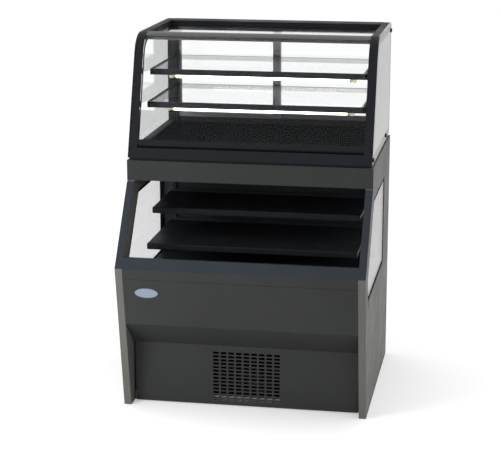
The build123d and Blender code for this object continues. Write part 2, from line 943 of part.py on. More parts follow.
def power_inlet():
    """Flush appliance inlet with three flat pins."""
    x = (inlet_x[0] + fit_gap, inlet_x[1] - fit_gap)
    z = (inlet_z[0] + fit_gap, inlet_z[1] - fit_gap)
    middle_x = (x[0] + x[1]) / 2
    middle_z = (z[0] + z[1]) / 2
    well_y = (rear_y - inlet_well, rear_y)
    with BuildPart() as inlet:
        block(x, (rear_y - inlet_depth, rear_y), z)
        well_x = (x[0] + inlet_wall, x[1] - inlet_wall)
        well_z = (z[0] + inlet_wall, z[1] - inlet_wall)
        block(well_x, well_y, well_z, mode=Mode.SUBTRACT)
        for dx, dz in pin_places:
            pin_x = (middle_x + dx - pin_half[0], middle_x + dx + pin_half[0])
            pin_z = (middle_z + dz - pin_half[1], middle_z + dz + pin_half[1])
            block(pin_x, (well_y[0], rear_y - pin_setback), pin_z)
    return inlet.part


# Upper case, shell

frame_foot_y = band_y - 3.5
corner_y = frame_foot_y + (case_height - case_floor) * tan(front_lean)
tangent = corner_radius * tan((radians(90) - front_lean) / 2)
arc_y = corner_y + tangent
arc_z = case_height - corner_radius
lean_up = (sin(front_lean), cos(front_lean))
lean_out = (-cos(front_lean), sin(front_lean))
lean_angle = 180.0 - degrees(front_lean)
slant_length = (case_height - case_floor) / cos(front_lean) - tangent
rear_corner_radius = 6.0


def on_slant(along, depth):
    """Point on the leaning front: along it from the case floor, and depth behind it."""
    y = frame_foot_y + along * lean_up[0] - depth * lean_out[0]
    z = case_floor + along * lean_up[1] - depth * lean_out[1]
    return (y, z)


def side_outline(inset, x, mode=Mode.ADD):
    """Closed side profile of the upper case with its large front corner."""
    with BuildSketch(Plane.YZ.offset(x[0])) as outline:
        with BuildLine():
            Polyline(
                (frame_foot_y, case_floor),
                (corner_y, case_height),
                (rear_y, case_height),
                (rear_y, case_floor),
                close=True,
            )
        make_face()
        top_front = outline.vertices().sort_by_distance((corner_y, case_height, 0))[0]
        fillet(top_front, corner_radius)
        top_rear = outline.vertices().sort_by_distance((rear_y, case_height, 0))[0]
        fillet(top_rear, rear_corner_radius)
        if inset > 0:
            offset(amount=-inset, mode=Mode.REPLACE)
    extrude(outline.sketch, amount=x[1] - x[0], mode=mode)


stud_radius = 8.0
stud_shank = 4.0
stud_depth = 14.0
stud_places = (
    (frame_foot_y + 36.0, case_floor + 15.0),
    (rear_y - 150.0, case_floor + 15.0),
    (rear_y - 15.0, case_height - 30.0),
)
pivot_along = 51.0
pivot_depth = 12.0
pivot_pin = 4.0
pivot_reach = 8.0


def stud_holes(side, x_start, depth, radius):
    for y, z in stud_places:
        bar((side * x_start, y, z), radius, depth, (-side, 0, 0), mode=Mode.SUBTRACT)


def end_frame(side):
    """Bent tube frame: front post, top rail, rear post and bottom rail in one loop."""
    x = sorted((side * frame_in, side * frame_out))
    pivot_y, pivot_z = on_slant(pivot_along, pivot_depth)
    with BuildPart() as frame:
        side_outline(0, x)
        side_outline(frame_section, x, mode=Mode.SUBTRACT)
        stud_holes(side, frame_out, stud_depth, stud_shank)
        hole = (side * frame_in, pivot_y, pivot_z)
        bar(hole, pivot_pin + shaft_clearance, pivot_reach + 2.0, (side, 0, 0), mode=Mode.SUBTRACT)
    return frame.part


def end_glasses():
    with BuildPart() as glasses:
        for side in (-1, 1):
            side_outline(0, sorted((side * frame_out, side * glass_out)))
        for side in (-1, 1):
            stud_holes(side, glass_out, side_glass, stud_shank)
    return glasses.part


def glass_studs():
    """Flat-headed studs through the end glasses into the frames."""
    with BuildPart() as studs:
        for side in (-1, 1):
            for y, z in stud_places:
                bar((side * glass_out, y, z), stud_radius, stud_height, (side, 0, 0))
                bar((side * glass_out, y, z), stud_shank, side_glass + stud_depth, (-side, 0, 0))
    return studs.part


def upper_base():
    """Recessed plinth board between the lower cabinet and the upper case."""
    with BuildPart() as base:
        x = (-half_width + plinth_inset, half_width - plinth_inset)
        block(x, (band_y + plinth_inset, rear_y - plinth_inset), (band_top, case_floor))
    return base.part


def base_fascia():
    """Black front base under the glass, between the end frames."""
    along = front_base_height / cos(front_lean)
    profile = [
        on_slant(0, 0),
        on_slant(along, 0),
        (on_slant(along, 0)[0] + front_base_depth, case_floor + front_base_height),
        (on_slant(0, 0)[0] + front_base_depth, case_floor),
    ]
    with BuildPart() as fascia:
        prism(profile, (-upper_half, upper_half))
    return fascia.part


deck_rise = 26.0
upper_lip = 30.0
upper_lip_fold = 12.0
upper_lip_y = frame_foot_y + 44.0
track_y = (rear_y - rail_depth, rear_y)
header_y = rear_y - header_depth


def upper_deck():
    """Display deck with a raised front lip, on two side flanges."""
    x = (-upper_half, upper_half)
    y = (upper_lip_y, track_y[0] - fit_gap)
    z = case_floor + deck_rise
    with BuildPart() as deck:
        block(x, y, (z - panel_sheet, z))
        block(x, (y[0], y[0] + panel_sheet), (case_floor, z + upper_lip))
        block(x, (y[0], y[0] + upper_lip_fold), (z + upper_lip - panel_sheet, z + upper_lip))
        for side in (-1, 1):
            flange = sorted((side * upper_half, side * (upper_half - panel_sheet)))
            block(flange, y, (case_floor, z))
    return deck.part


def groove_limits():
    """Y limits of the two door grooves, front one first."""
    width = (rail_depth - 3 * door_wall) / 2
    first = track_y[0] + door_wall
    second = first + width + door_wall
    return ((first, first + width), (second, second + width))


track_groove = 12.0
header_groove = 15.0
roof_glass_thickness = 6.0
roof_set_down = 19.0
ledge = 12.0
ledge_thickness = 5.0
roof_z = (case_height - roof_set_down - roof_glass_thickness, case_height - roof_set_down)


def door_track():
    z = (case_floor, case_floor + track_height)
    with BuildPart() as track:
        block((-upper_half, upper_half), track_y, z)
        for groove in groove_limits():
            block((-upper_half, upper_half), groove, (z[1] - track_groove, z[1]), mode=Mode.SUBTRACT)
    return track.part


def rear_header():
    """Deep top rail that stands above the roof glass, with the door grooves under it."""
    x = (-upper_half, upper_half)
    z = (case_height - rail_height, case_height)
    with BuildPart() as header:
        block(x, (header_y, rear_y), z)
        for groove in groove_limits():
            block(x, groove, (z[0], z[0] + header_groove), mode=Mode.SUBTRACT)
        block(x, (header_y - ledge, header_y), (z[0], roof_z[0]))
    return header.part


def ring_point(radius, angle):
    return (arc_y + radius * cos(radians(angle)), arc_z + radius * sin(radians(angle)))


header_thickness = 18.0
header_web = 8.0


def front_header():
    """Curved top rail between the frames, with a ledge for the roof glass."""
    outer = corner_radius
    inner = corner_radius - header_thickness
    sweep_angle = 90.0 - header_start_angle
    with BuildPart() as header:
        with BuildSketch(Plane.YZ.offset(-upper_half)):
            with BuildLine():
                CenterArc((arc_y, arc_z), outer, header_start_angle, sweep_angle)
                Line((arc_y, arc_z + outer), (arc_y, arc_z + inner))
                CenterArc((arc_y, arc_z), inner, header_start_angle, sweep_angle)
                Line(ring_point(inner, header_start_angle), ring_point(outer, header_start_angle))
            make_face()
        extrude(amount=2 * upper_half)
        ledge_z = (roof_z[0] - ledge_thickness, roof_z[0])
        block((-upper_half, upper_half), (arc_y - header_web, arc_y), (ledge_z[0], case_height - header_web))
        block((-upper_half, upper_half), (arc_y, arc_y + ledge), ledge_z)
    return header.part


def roof_glass():
    with BuildPart() as glass:
        block((-upper_half, upper_half), (arc_y + fit_gap, header_y - fit_gap), roof_z)
    return glass.part


glass_start = 58.0
glass_end_gap = 1.2
clamp_end = 70.0
clamp_wall = 2.0
hinge_tube = 6.0


def front_glass():
    """Bent front pane: a leaning flat that turns into the header's curve."""
    near = front_glass_inset
    far = near + front_glass_thickness
    end_angle = header_start_angle + glass_end_gap
    sweep_angle = end_angle - lean_angle
    with BuildPart() as pane:
        with BuildSketch(Plane.YZ.offset(-upper_half)):
            with BuildLine():
                Line(on_slant(glass_start, near), on_slant(slant_length, near))
                CenterArc((arc_y, arc_z), corner_radius - near, lean_angle, sweep_angle)
                Line(
                    ring_point(corner_radius - near, end_angle),
                    ring_point(corner_radius - far, end_angle),
                )
                CenterArc((arc_y, arc_z), corner_radius - far, lean_angle, sweep_angle)
                Line(on_slant(slant_length, far), on_slant(glass_start, far))
                Line(on_slant(glass_start, far), on_slant(glass_start, near))
            make_face()
        extrude(amount=2 * upper_half)
    return pane.part


def glass_hinge():
    """Rail that grips the front pane's lower edge and turns on two end pins."""
    near = front_glass_inset
    far = near + front_glass_thickness
    rail_half = upper_half - fit_gap
    jaw = [
        on_slant(pivot_along, near - clamp_wall),
        on_slant(clamp_end, near - clamp_wall),
        on_slant(clamp_end, far + clamp_wall),
        on_slant(pivot_along, pivot_depth),
    ]
    slot = [
        on_slant(glass_start, near),
        on_slant(clamp_end + 1.0, near),
        on_slant(clamp_end + 1.0, far),
        on_slant(glass_start, far),
    ]
    pivot_y, pivot_z = on_slant(pivot_along, pivot_depth)
    with BuildPart() as rail:
        prism(jaw, (-rail_half, rail_half))
        bar((-rail_half, pivot_y, pivot_z), hinge_tube, 2 * rail_half, (1, 0, 0))
        prism(slot, (-rail_half - 1.0, rail_half + 1.0), mode=Mode.SUBTRACT)
        pin_half = frame_in + pivot_reach
        bar((-pin_half, pivot_y, pivot_z), pivot_pin, 2 * pin_half, (1, 0, 0))
    return rail.part


# Sliding rear doors

door_bottom = case_floor + track_height - track_groove + fit_gap
door_top = case_height - rail_height + header_groove - 3.0
door_z = (door_bottom, door_top)
door_side_gap = 1.0
door_width = upper_half + door_stile / 2 - door_side_gap
pane_grip = 6.0
door_pane = 5.0
pull_size = (14.0, 90.0, 7.0)


def door_limits(side):
    """X and Y limits of one door when it is shut."""
    outer = side * (upper_half - door_side_gap)
    x = sorted((outer, outer - side * door_width))
    groove = groove_limits()[0 if side < 0 else 1]
    return x, (groove[0] + door_clearance, groove[1] - door_clearance)


def door_frame(side):
    x, y = door_limits(side)
    clear_x = (x[0] + door_stile, x[1] - door_stile)
    clear_z = (door_z[0] + door_stile, door_z[1] - door_stile)
    middle = (y[0] + y[1]) / 2
    with BuildPart() as frame:
        block(x, y, door_z)
        block(clear_x, y, clear_z, mode=Mode.SUBTRACT)
        slot_x = (clear_x[0] - pane_grip, clear_x[1] + pane_grip)
        slot_z = (clear_z[0] - pane_grip, clear_z[1] + pane_grip)
        block(slot_x, (middle - door_pane / 2, middle + door_pane / 2), slot_z, mode=Mode.SUBTRACT)
        centre_x = side * (upper_half - door_side_gap - door_stile / 2)
        centre_z = (door_z[0] + door_z[1]) / 2
        width, height, depth = pull_size
        pull_x = (centre_x - width / 2, centre_x + width / 2)
        pull_z = (centre_z - height / 2, centre_z + height / 2)
        block(pull_x, (y[1] - depth, y[1]), pull_z, mode=Mode.SUBTRACT)
    return frame.part


def door_glass(side):
    x, y = door_limits(side)
    edge = door_stile - pane_grip
    middle = (y[0] + y[1]) / 2
    pane_y = (middle - door_pane / 2, middle + door_pane / 2)
    with BuildPart() as pane:
        block((x[0] + edge, x[1] - edge), pane_y, (door_z[0] + edge, door_z[1] - edge))
    return pane.part


# Shelves, their standards and brackets

standard_width = 16.0
upper_standard_depth = 18.0
lower_standard_depth = 14.0
bracket_thickness = 3.0
upper_shelf_z = {"top": case_height - 140.0, "low": case_floor + deck_rise + 160.0}
upper_shelf_setback = {"top": 103.5, "low": 92.0}
upper_shelf_tall = 22.0
upper_shelf_half = upper_half - shelf_end_gap
upper_shelf_back = track_y[0] - upper_standard_depth - 5.0
shelf_glass = 5.0
shelf_rim = 12.0
shelf_side = 20.0
shelf_ledge = 5.0
shelf_tube_wall = 2.0
rib_count = 4
rib_pitch = 4.2
rib_depth = 1.0
rib_first = 5.0
lamp_setback = 92.0
lamp_channel = (30.0, 6.0)
lamp_end_gap = 4.5
lamp_holder_inset = 54.5
lower_shelf_front = {"top": front_y + 354.0, "low": front_y + 260.0}
lower_shelf_z = {"top": band_bottom - 135.0, "low": deck_z + 130.0}
lower_shelf_tall = 24.0
lower_shelf_half = inner_half - 32.0
lower_shelf_back = duct_y - lower_standard_depth - 5.0
shelf_nose = 12.0
shelf_nose_round = 5.0
shelf_pan_drop = (4.0, 2.0)
shelf_back_rise = 8.0
shelf_side_drop = 18.0


def upper_shelf_front(level):
    """Y of a glass shelf's front bar, a set way behind the leaning front."""
    slant_y = frame_foot_y + (upper_shelf_z[level] - case_floor) * tan(front_lean)
    return slant_y + upper_shelf_setback[level]


def upper_shelf(level):
    """Shelf frame: a ribbed front bar between two side tubes, with a rebate for its glass."""
    x = (-upper_shelf_half, upper_shelf_half)
    y = (upper_shelf_front(level), upper_shelf_back)
    z_top = upper_shelf_z[level]
    z = (z_top - upper_shelf_tall, z_top)
    with BuildPart() as shelf:
        block(x, y, z)
        for inset, depth in ((0.0, upper_shelf_tall), (shelf_ledge, shelf_glass)):
            clear_x = (x[0] + shelf_side - inset, x[1] - shelf_side + inset)
            clear_y = (y[0] + shelf_rim - inset, y[1] - shelf_rim + inset)
            block(clear_x, clear_y, (z_top - depth, z_top), mode=Mode.SUBTRACT)
        for side in (-1, 1):
            bore_outer = side * (upper_shelf_half - shelf_tube_wall)
            bore_inner = side * (upper_shelf_half - shelf_side + shelf_ledge + shelf_tube_wall)
            bore_z = (z[0] + shelf_tube_wall, z[1] - shelf_tube_wall)
            block(sorted((bore_outer, bore_inner)), y, bore_z, mode=Mode.SUBTRACT)
        rib_half = upper_shelf_half - shelf_side
        for row in range(rib_count):
            rib_z = z_top - rib_first - row * rib_pitch
            rib_y = (y[0], y[0] + rib_depth)
            block((-rib_half, rib_half), rib_y, (rib_z - 1.0, rib_z + 1.0), mode=Mode.SUBTRACT)
    return shelf.part


def upper_shelf_pane(level):
    side_edge = shelf_side - shelf_ledge + fit_gap
    edge = shelf_rim - shelf_ledge + fit_gap
    pane_half = upper_shelf_half - side_edge
    pane_y = (upper_shelf_front(level) + edge, upper_shelf_back - edge)
    z_top = upper_shelf_z[level]
    with BuildPart() as pane:
        block((-pane_half, pane_half), pane_y, (z_top - shelf_glass, z_top))
    return pane.part


def upper_lamp(level):
    """The lamp's channel hangs between the shelf's side tubes, behind the front bar."""
    lamp_y = upper_shelf_front(level) + lamp_setback
    lamp_top = upper_shelf_z[level] - upper_shelf_tall
    holder_end = upper_shelf_half - lamp_holder_inset
    channel_end = upper_shelf_half - lamp_end_gap
    return tube_lamp(lamp_y, lamp_top, holder_end, channel_end, *lamp_channel)


def lower_shelf(level):
    """Black pan with a rounded front lip and a turned-up back edge."""
    x = (-lower_shelf_half, lower_shelf_half)
    front = lower_shelf_front[level]
    z_top = lower_shelf_z[level]
    pan_z = (z_top - shelf_pan_drop[0], z_top - shelf_pan_drop[1])
    pan_length = (front + shelf_nose / 2, lower_shelf_back)
    back_y = (lower_shelf_back - thin_sheet, lower_shelf_back)
    with BuildPart() as shelf:
        block(x, pan_length, pan_z)
        block(x, (front, front + shelf_nose), (z_top - lower_shelf_tall, z_top))
        nose_edges = shelf.edges().filter_by(Axis.X).group_by(Axis.Y)[0]
        fillet(nose_edges, shelf_nose_round)
        block(x, back_y, (pan_z[0], z_top + shelf_back_rise))
        for side in (-1, 1):
            edge = sorted((side * lower_shelf_half, side * (lower_shelf_half - thin_sheet)))
            block(edge, pan_length, (z_top - shelf_side_drop, pan_z[1]))
    return shelf.part


upper_standard_x = (upper_half - standard_width, upper_half)
lower_standard_x = (lower_shelf_half - 24.0, lower_shelf_half - 24.0 + standard_width)
slot_pitch = 25.0
slot_size = (2.0, 4.0, 14.0)
slot_end_margin = 20.0
standard_top_gap = 12.0
upper_bracket = {"short": 60.0, "deep": 34.0, "shallow": 9.0}
lower_bracket = {"short": 30.0, "deep": 38.0, "shallow": 10.0}


def standard(x, y, z):
    """Slotted upright: a channel with a row of slots for the brackets."""
    block(x, y, z)
    middle = (x[0] + x[1]) / 2
    half, depth, height = slot_size
    slots = int((z[1] - z[0] - 1.5 * slot_end_margin) // slot_pitch)
    for index in range(slots):
        slot_z = z[0] + slot_end_margin + index * slot_pitch
        slot_x = (middle - half, middle + half)
        block(slot_x, (y[0], y[0] + depth), (slot_z, slot_z + height), mode=Mode.SUBTRACT)


def shelf_standards():
    upper_y = (track_y[0] - upper_standard_depth - fit_gap, track_y[0] - fit_gap)
    upper_z = (case_floor + deck_rise, case_height - rail_height - standard_top_gap)
    lower_y = (duct_y - lower_standard_depth, duct_y)
    lower_z = (deck_z, duct_top - thin_sheet)
    with BuildPart() as standards:
        for side in (-1, 1):
            upper_x = sorted(side * x for x in upper_standard_x)
            standard(upper_x, upper_y, upper_z)
            lower_x = sorted(side * x for x in lower_standard_x)
            standard(lower_x, lower_y, lower_z)
    return standards.part


def bracket_pair(x_limits, back_y, shelf_front, z_top, size):
    """A tapering arm on each side, which stops short of the shelf's front."""
    front = shelf_front + size["short"]
    tip_z = z_top - size["shallow"]
    profile = [(back_y, z_top), (front, z_top), (front, tip_z), (back_y, z_top - size["deep"])]
    middle = (x_limits[0] + x_limits[1]) / 2
    for side in (-1, 1):
        x = sorted((side * (middle - bracket_thickness / 2), side * (middle + bracket_thickness / 2)))
        prism(profile, x)


def shelf_brackets():
    upper_back = track_y[0] - upper_standard_depth - fit_gap
    lower_back = duct_y - lower_standard_depth
    with BuildPart() as brackets:
        for level in ("top", "low"):
            z_top = upper_shelf_z[level] - upper_shelf_tall
            bracket_pair(upper_standard_x, upper_back, upper_shelf_front(level), z_top, upper_bracket)
            z_top = lower_shelf_z[level] - shelf_pan_drop[0]
            bracket_pair(lower_standard_x, lower_back, lower_shelf_front[level], z_top, lower_bracket)
    return brackets.part


# Every piece, by name

canopy_lamp_y = band_back_y + 26.0
canopy_lamp_end = span_half - 46.5
canopy_channel = (14.0, 12.0)
condenser_fan_centre = (grille_x, fan_y, fan_centre_z)
condenser_fan_plane = Plane(origin=condenser_fan_centre, x_dir=(1, 0, 0), z_dir=(0, -1, 0))
lower_fan_plane = Plane(origin=(*lower_fan_place, lower_fan_z))

save("left_end_panel", end_panel(-1))
save("right_end_panel", end_panel(1))
save("window_gaskets", window_gaskets())
save("window_panes", window_panes())
save("opening_frame", opening_frame())
save("nose_rail", nose_rail())
save("front_panel", front_panel())
save("badge_plate", badge_plate())
save("kick_panel", kick_panel())
save("panel_screws", panel_screws())
save("base_frame", base_frame())
save("cold_well", cold_well())
save("back_duct", back_duct())
save("lower_deck", lower_deck())
save("cooling_coil", cooling_coil())
save("air_comb", air_comb())
save("canopy", canopy())
save("fascia_band", fascia_band())
lamp_ends = (canopy_lamp_end, canopy_lamp_end)
save("canopy_lamp", tube_lamp(canopy_lamp_y, canopy_bottom, *lamp_ends, *canopy_channel))
save("condenser_coil", condenser_coil())
save("fan_shroud", fan_shroud())
save("fan_motors", fan_motors())
save("condenser_fan", fan_wheel(condenser_fan_plane, fan_radius, 24.0, 18.0, 28.0))
save("well_fan", fan_wheel(lower_fan_plane, lower_fan_radius, 18.0, 14.0, 25.0))
save("compressor", compressor())
save("copper_lines", copper_lines())
save("condensate_pan", condensate_pan())
save("rear_panel", rear_panel())
save("control_panel", control_panel())
save("thermometer", thermometer())
save("thermostat_knob", thermostat_knob())
save("light_switch", light_switch())
save("power_inlet", power_inlet())
save("upper_base", upper_base())
save("left_end_frame", end_frame(-1))
save("right_end_frame", end_frame(1))
save("end_glasses", end_glasses())
save("glass_studs", glass_studs())
save("base_fascia", base_fascia())
save("upper_deck", upper_deck())
save("door_track", door_track())
save("rear_header", rear_header())
save("front_header", front_header())
save("roof_glass", roof_glass())
save("front_glass", front_glass())
save("glass_hinge", glass_hinge())
save("left_door_frame", door_frame(-1))
save("left_door_glass", door_glass(-1))
save("right_door_frame", door_frame(1))
save("right_door_glass", door_glass(1))
save("shelf_standards", shelf_standards())
save("shelf_brackets", shelf_brackets())
for level in ("top", "low"):
    save(f"upper_{level}_shelf", upper_shelf(level))
    save(f"upper_{level}_shelf_glass", upper_shelf_pane(level))
    save(f"upper_{level}_lamp", upper_lamp(level))
    save(f"lower_{level}_shelf", lower_shelf(level))
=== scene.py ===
import json
import math
import bmesh
import bpy
from mathutils import Matrix, Vector


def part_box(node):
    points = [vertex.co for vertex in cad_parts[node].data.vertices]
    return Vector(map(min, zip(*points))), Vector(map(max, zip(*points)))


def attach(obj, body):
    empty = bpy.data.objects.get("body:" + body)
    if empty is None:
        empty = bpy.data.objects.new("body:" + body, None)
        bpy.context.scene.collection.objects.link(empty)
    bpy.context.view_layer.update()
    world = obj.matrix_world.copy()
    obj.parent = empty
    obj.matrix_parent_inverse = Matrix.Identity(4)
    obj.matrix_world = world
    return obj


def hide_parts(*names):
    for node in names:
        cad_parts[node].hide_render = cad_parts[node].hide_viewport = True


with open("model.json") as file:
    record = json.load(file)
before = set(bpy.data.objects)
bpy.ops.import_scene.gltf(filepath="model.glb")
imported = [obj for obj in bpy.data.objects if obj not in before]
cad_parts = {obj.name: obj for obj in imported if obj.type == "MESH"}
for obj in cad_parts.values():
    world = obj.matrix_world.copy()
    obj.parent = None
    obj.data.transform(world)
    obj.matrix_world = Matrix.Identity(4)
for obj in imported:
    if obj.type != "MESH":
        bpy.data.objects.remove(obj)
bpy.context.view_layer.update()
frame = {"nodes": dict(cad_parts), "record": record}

nodes = frame["nodes"]
slotOf = {part["node"]: part["material_slot"] for part in frame["record"]["subparts"]}
print("stage: frame loaded,", len(nodes), "nodes")


def addNode(tree, kind, values=None, **settings):
    node = tree.nodes.new(kind)
    for name, value in settings.items():
        setattr(node, name, value)
    for name, value in (values or {}).items():
        if isinstance(value, bpy.types.NodeSocket):
            tree.links.new(value, node.inputs[name])
        else:
            node.inputs[name].default_value = value
    return node


def math2(tree, operation, first, second, clamp=False):
    settings = {"operation": operation, "use_clamp": clamp}
    return addNode(tree, "ShaderNodeMath", {0: first, 1: second}, **settings).outputs[0]


# Camera and studio

cameraSet = {
    "place": (0.985, -5.756, 2.072), "yaw": 10.06, "pitch": 13.80, "focal": 112.4,
    "sensor": 36.0, "reach": 100.0,
}


def setCamera():
    camera = bpy.data.objects.new("photoCamera", bpy.data.cameras.new("photoCamera"))
    camera.location = cameraSet["place"]
    pitch, yaw = math.radians(90 - cameraSet["pitch"]), math.radians(cameraSet["yaw"])
    camera.rotation_euler = (pitch, 0, yaw)
    camera.data.lens = cameraSet["focal"]
    camera.data.sensor_width = cameraSet["sensor"]
    camera.data.clip_end = cameraSet["reach"]
    bpy.context.scene.collection.objects.link(camera)
    bpy.context.scene.camera = camera


studio = {
    "ambient": 0.80,
    "floorSize": 40.0,
    "floorColor": (0.93, 0.93, 0.935),
    "floorCloud": {"Scale": 1.3, "Detail": 3.0},
    "floorDim": 0.985,
    "floorLift": 0.28,
    "lamps": {
        "keyLamp": {
            "place": (-1.3, -1.8, 0.9), "size": 0.7, "power": 21.0, "aim": (-0.4, -0.4, 0.5),
        },
        "fillLamp": {
            "place": (3.4, -0.6, 1.8), "size": 2.0, "power": 12.0, "aim": (0.2, 0.0, 0.7),
        },
        "topLamp": {
            "place": (0.0, 0.6, 3.6), "size": 2.6, "power": 12.0, "aim": (0.0, 0.0, 0.9),
        },
    },
}


def shownRays(tree):
    # camera and see-through rays meet the plain white studio, mirror rays its dimmer light
    path = addNode(tree, "ShaderNodeLightPath").outputs
    return math2(tree, "MAXIMUM", path["Is Camera Ray"], path["Is Transmission Ray"])


def buildSky():
    world = bpy.data.worlds.new("paleStudio")
    bpy.context.scene.world = world
    world.use_nodes = True
    tree = world.node_tree
    tree.nodes.clear()
    limits = {0: shownRays(tree), 3: studio["ambient"], 4: 1.0}
    strength = addNode(tree, "ShaderNodeMapRange", limits).outputs[0]
    sky = addNode(tree, "ShaderNodeBackground", {"Color": (1, 1, 1, 1), "Strength": strength})
    addNode(tree, "ShaderNodeOutputWorld", {"Surface": sky.outputs[0]})


def placeLamps():
    for name, lamp in studio["lamps"].items():
        light = bpy.data.lights.new(name, "AREA")
        light.size = lamp["size"]
        light.energy = lamp["power"]
        item = bpy.data.objects.new(name, light)
        item.location = lamp["place"]
        item.visible_glossy = False  # no lamp shows in the glass
        look = Vector(lamp["aim"]) - Vector(lamp["place"])
        item.rotation_euler = look.to_track_quat("-Z", "Y").to_euler()
        bpy.context.scene.collection.objects.link(item)


def floorMaterial():
    # the lift makes the lit floor white and leaves the shadow of the case on it
    material = bpy.data.materials.new("paleFloor")
    material.use_nodes = True
    tree = material.node_tree
    tree.nodes.clear()
    cloud = addNode(tree, "ShaderNodeTexNoise", studio["floorCloud"]).outputs[0]
    limits = {0: cloud, 3: studio["floorDim"], 4: 1.0}
    tone = addNode(tree, "ShaderNodeMapRange", limits).outputs[0]
    tint = {"Color": (*studio["floorColor"], 1), "Value": tone}
    colour = addNode(tree, "ShaderNodeHueSaturation", tint).outputs[0]
    paper = addNode(tree, "ShaderNodeBsdfDiffuse", {"Color": colour})
    strength = math2(tree, "MULTIPLY", shownRays(tree), studio["floorLift"])
    lift = addNode(tree, "ShaderNodeEmission", {"Color": (1, 1, 1, 1), "Strength": strength})
    both = addNode(tree, "ShaderNodeAddShader", {0: paper.outputs[0], 1: lift.outputs[0]})
    addNode(tree, "ShaderNodeOutputMaterial", {"Surface": both.outputs[0]})
    return material


def buildFloor():
    half = studio["floorSize"] / 2
    mesh = bpy.data.meshes.new("paleFloor")
    corners = [(-half, -half, 0), (half, -half, 0), (half, half, 0), (-half, half, 0)]
    mesh.from_pydata(corners, [], [(0, 1, 2, 3)])
    floor = bpy.data.objects.new("paleFloor", mesh)
    bpy.context.scene.collection.objects.link(floor)
    mesh.materials.append(floorMaterial())


setCamera()
buildSky()
placeLamps()
buildFloor()
bpy.context.scene.view_settings.view_transform = "Standard"
print("stage: camera and studio")

# Shared surface effects, each a node group

bevelSamples = 6
glossOutputs = {"Roughness": "Float", "Height": "Float"}
surfaceOutputs = {"Color": "Color", **glossOutputs}
maskOutputs = {"Mask": "Float"}


def startGroup(name, inputs, outputs):
    group = bpy.data.node_groups.new(name, "ShaderNodeTree")
    for label, value in inputs.items():
        kind = "NodeSocketFloat"
        if isinstance(value, tuple):
            kind = "NodeSocketColor" if len(value) == 4 else "NodeSocketVector"
        socket = group.interface.new_socket(name=label, in_out="INPUT", socket_type=kind)
        socket.default_value = value
    for label, kind in outputs.items():
        group.interface.new_socket(name=label, in_out="OUTPUT", socket_type="NodeSocket" + kind)
    return group, addNode(group, "NodeGroupInput").outputs, addNode(group, "NodeGroupOutput")


def endGroup(group, end, results):
    for label, socket in results.items():
        group.links.new(socket, end.inputs[label])
    return group


def noiseAt(tree, scale, detail, stretch=None):
    place = addNode(tree, "ShaderNodeTexCoord").outputs["Object"]
    if stretch is not None:
        pair = {0: place, 1: stretch}
        place = addNode(tree, "ShaderNodeVectorMath", pair, operation="MULTIPLY").outputs[0]
    look = {"Vector": place, "Scale": scale, "Detail": detail}
    return addNode(tree, "ShaderNodeTexNoise", look).outputs[0]


def spread(tree, value, low, high, start=0.3, stop=0.7):
    limits = {0: value, 1: start, 2: stop, 3: low, 4: high}
    return addNode(tree, "ShaderNodeMapRange", limits).outputs[0]


def shadeColour(tree, colour, amount, pattern):
    # darker and lighter with the pattern, by this amount either way
    low = math2(tree, "SUBTRACT", 1.0, amount)
    high = math2(tree, "ADD", 1.0, amount)
    tone = spread(tree, pattern, low, high)
    return addNode(tree, "ShaderNodeHueSaturation", {"Color": colour, "Value": tone}).outputs[0]


def shiftRough(tree, rough, amount, pattern):
    # duller and glossier with the pattern, by this amount either way
    shift = math2(tree, "MULTIPLY", spread(tree, pattern, -1.0, 1.0), amount)
    return math2(tree, "ADD", rough, shift, clamp=True)


def joinMasks(tree, first, second, amount):
    both = math2(tree, "MULTIPLY", first, second)
    return math2(tree, "MULTIPLY", both, amount, clamp=True)


def makePaintSkin():
    # cloudy tone, rubbed gloss and orange peel of a sprayed coat
    inputs = {
        "Color": (0.5, 0.5, 0.5, 1.0), "Cloud": 0.08, "Roughness": 0.4, "Rub": 0.08,
        "Peel Scale": 900.0,
    }
    group, given, end = startGroup("paintSkin", inputs, surfaceOutputs)
    cloud = noiseAt(group, scale=2.6, detail=4.0)
    rubs = noiseAt(group, scale=9.0, detail=5.0)
    results = {
        "Color": shadeColour(group, given["Color"], given["Cloud"], cloud),
        "Roughness": shiftRough(group, given["Roughness"], given["Rub"], rubs),
        "Height": noiseAt(group, given["Peel Scale"], detail=1.0),
    }
    return endGroup(group, end, results)


def makeEdgeRub():
    # bright, thin wear where two faces meet
    inputs = {"Width": 0.0012, "Amount": 0.5, "Patch Scale": 24.0}
    group, given, end = startGroup("edgeRub", inputs, maskOutputs)
    bevel = {"Radius": given["Width"]}
    rounded = addNode(group, "ShaderNodeBevel", bevel, samples=bevelSamples).outputs[0]
    flat = addNode(group, "ShaderNodeNewGeometry").outputs["Normal"]
    pair = {0: rounded, 1: flat}
    facing = addNode(group, "ShaderNodeVectorMath", pair, operation="DOT_PRODUCT").outputs["Value"]
    turned = spread(group, facing, 1.0, 0.0, start=0.86, stop=0.985)
    patches = noiseAt(group, given["Patch Scale"], detail=4.0)
    patches = spread(group, patches, 0.0, 1.0, start=0.42, stop=0.62)
    return endGroup(group, end, {"Mask": joinMasks(group, turned, patches, given["Amount"])})


def makeDustFilm():
    # pale dust on faces that look up
    group, given, end = startGroup("dustFilm", {"Amount": 0.15, "Scale": 14.0}, maskOutputs)
    normal = addNode(group, "ShaderNodeNewGeometry").outputs["Normal"]
    up = addNode(group, "ShaderNodeSeparateXYZ", {0: normal}).outputs["Z"]
    facing = spread(group, up, 0.0, 1.0, start=0.5, stop=0.95)
    specks = noiseAt(group, given["Scale"], detail=6.0)
    specks = spread(group, specks, 0.25, 1.0, start=0.35, stop=0.7)
    return endGroup(group, end, {"Mask": joinMasks(group, facing, specks, given["Amount"])})


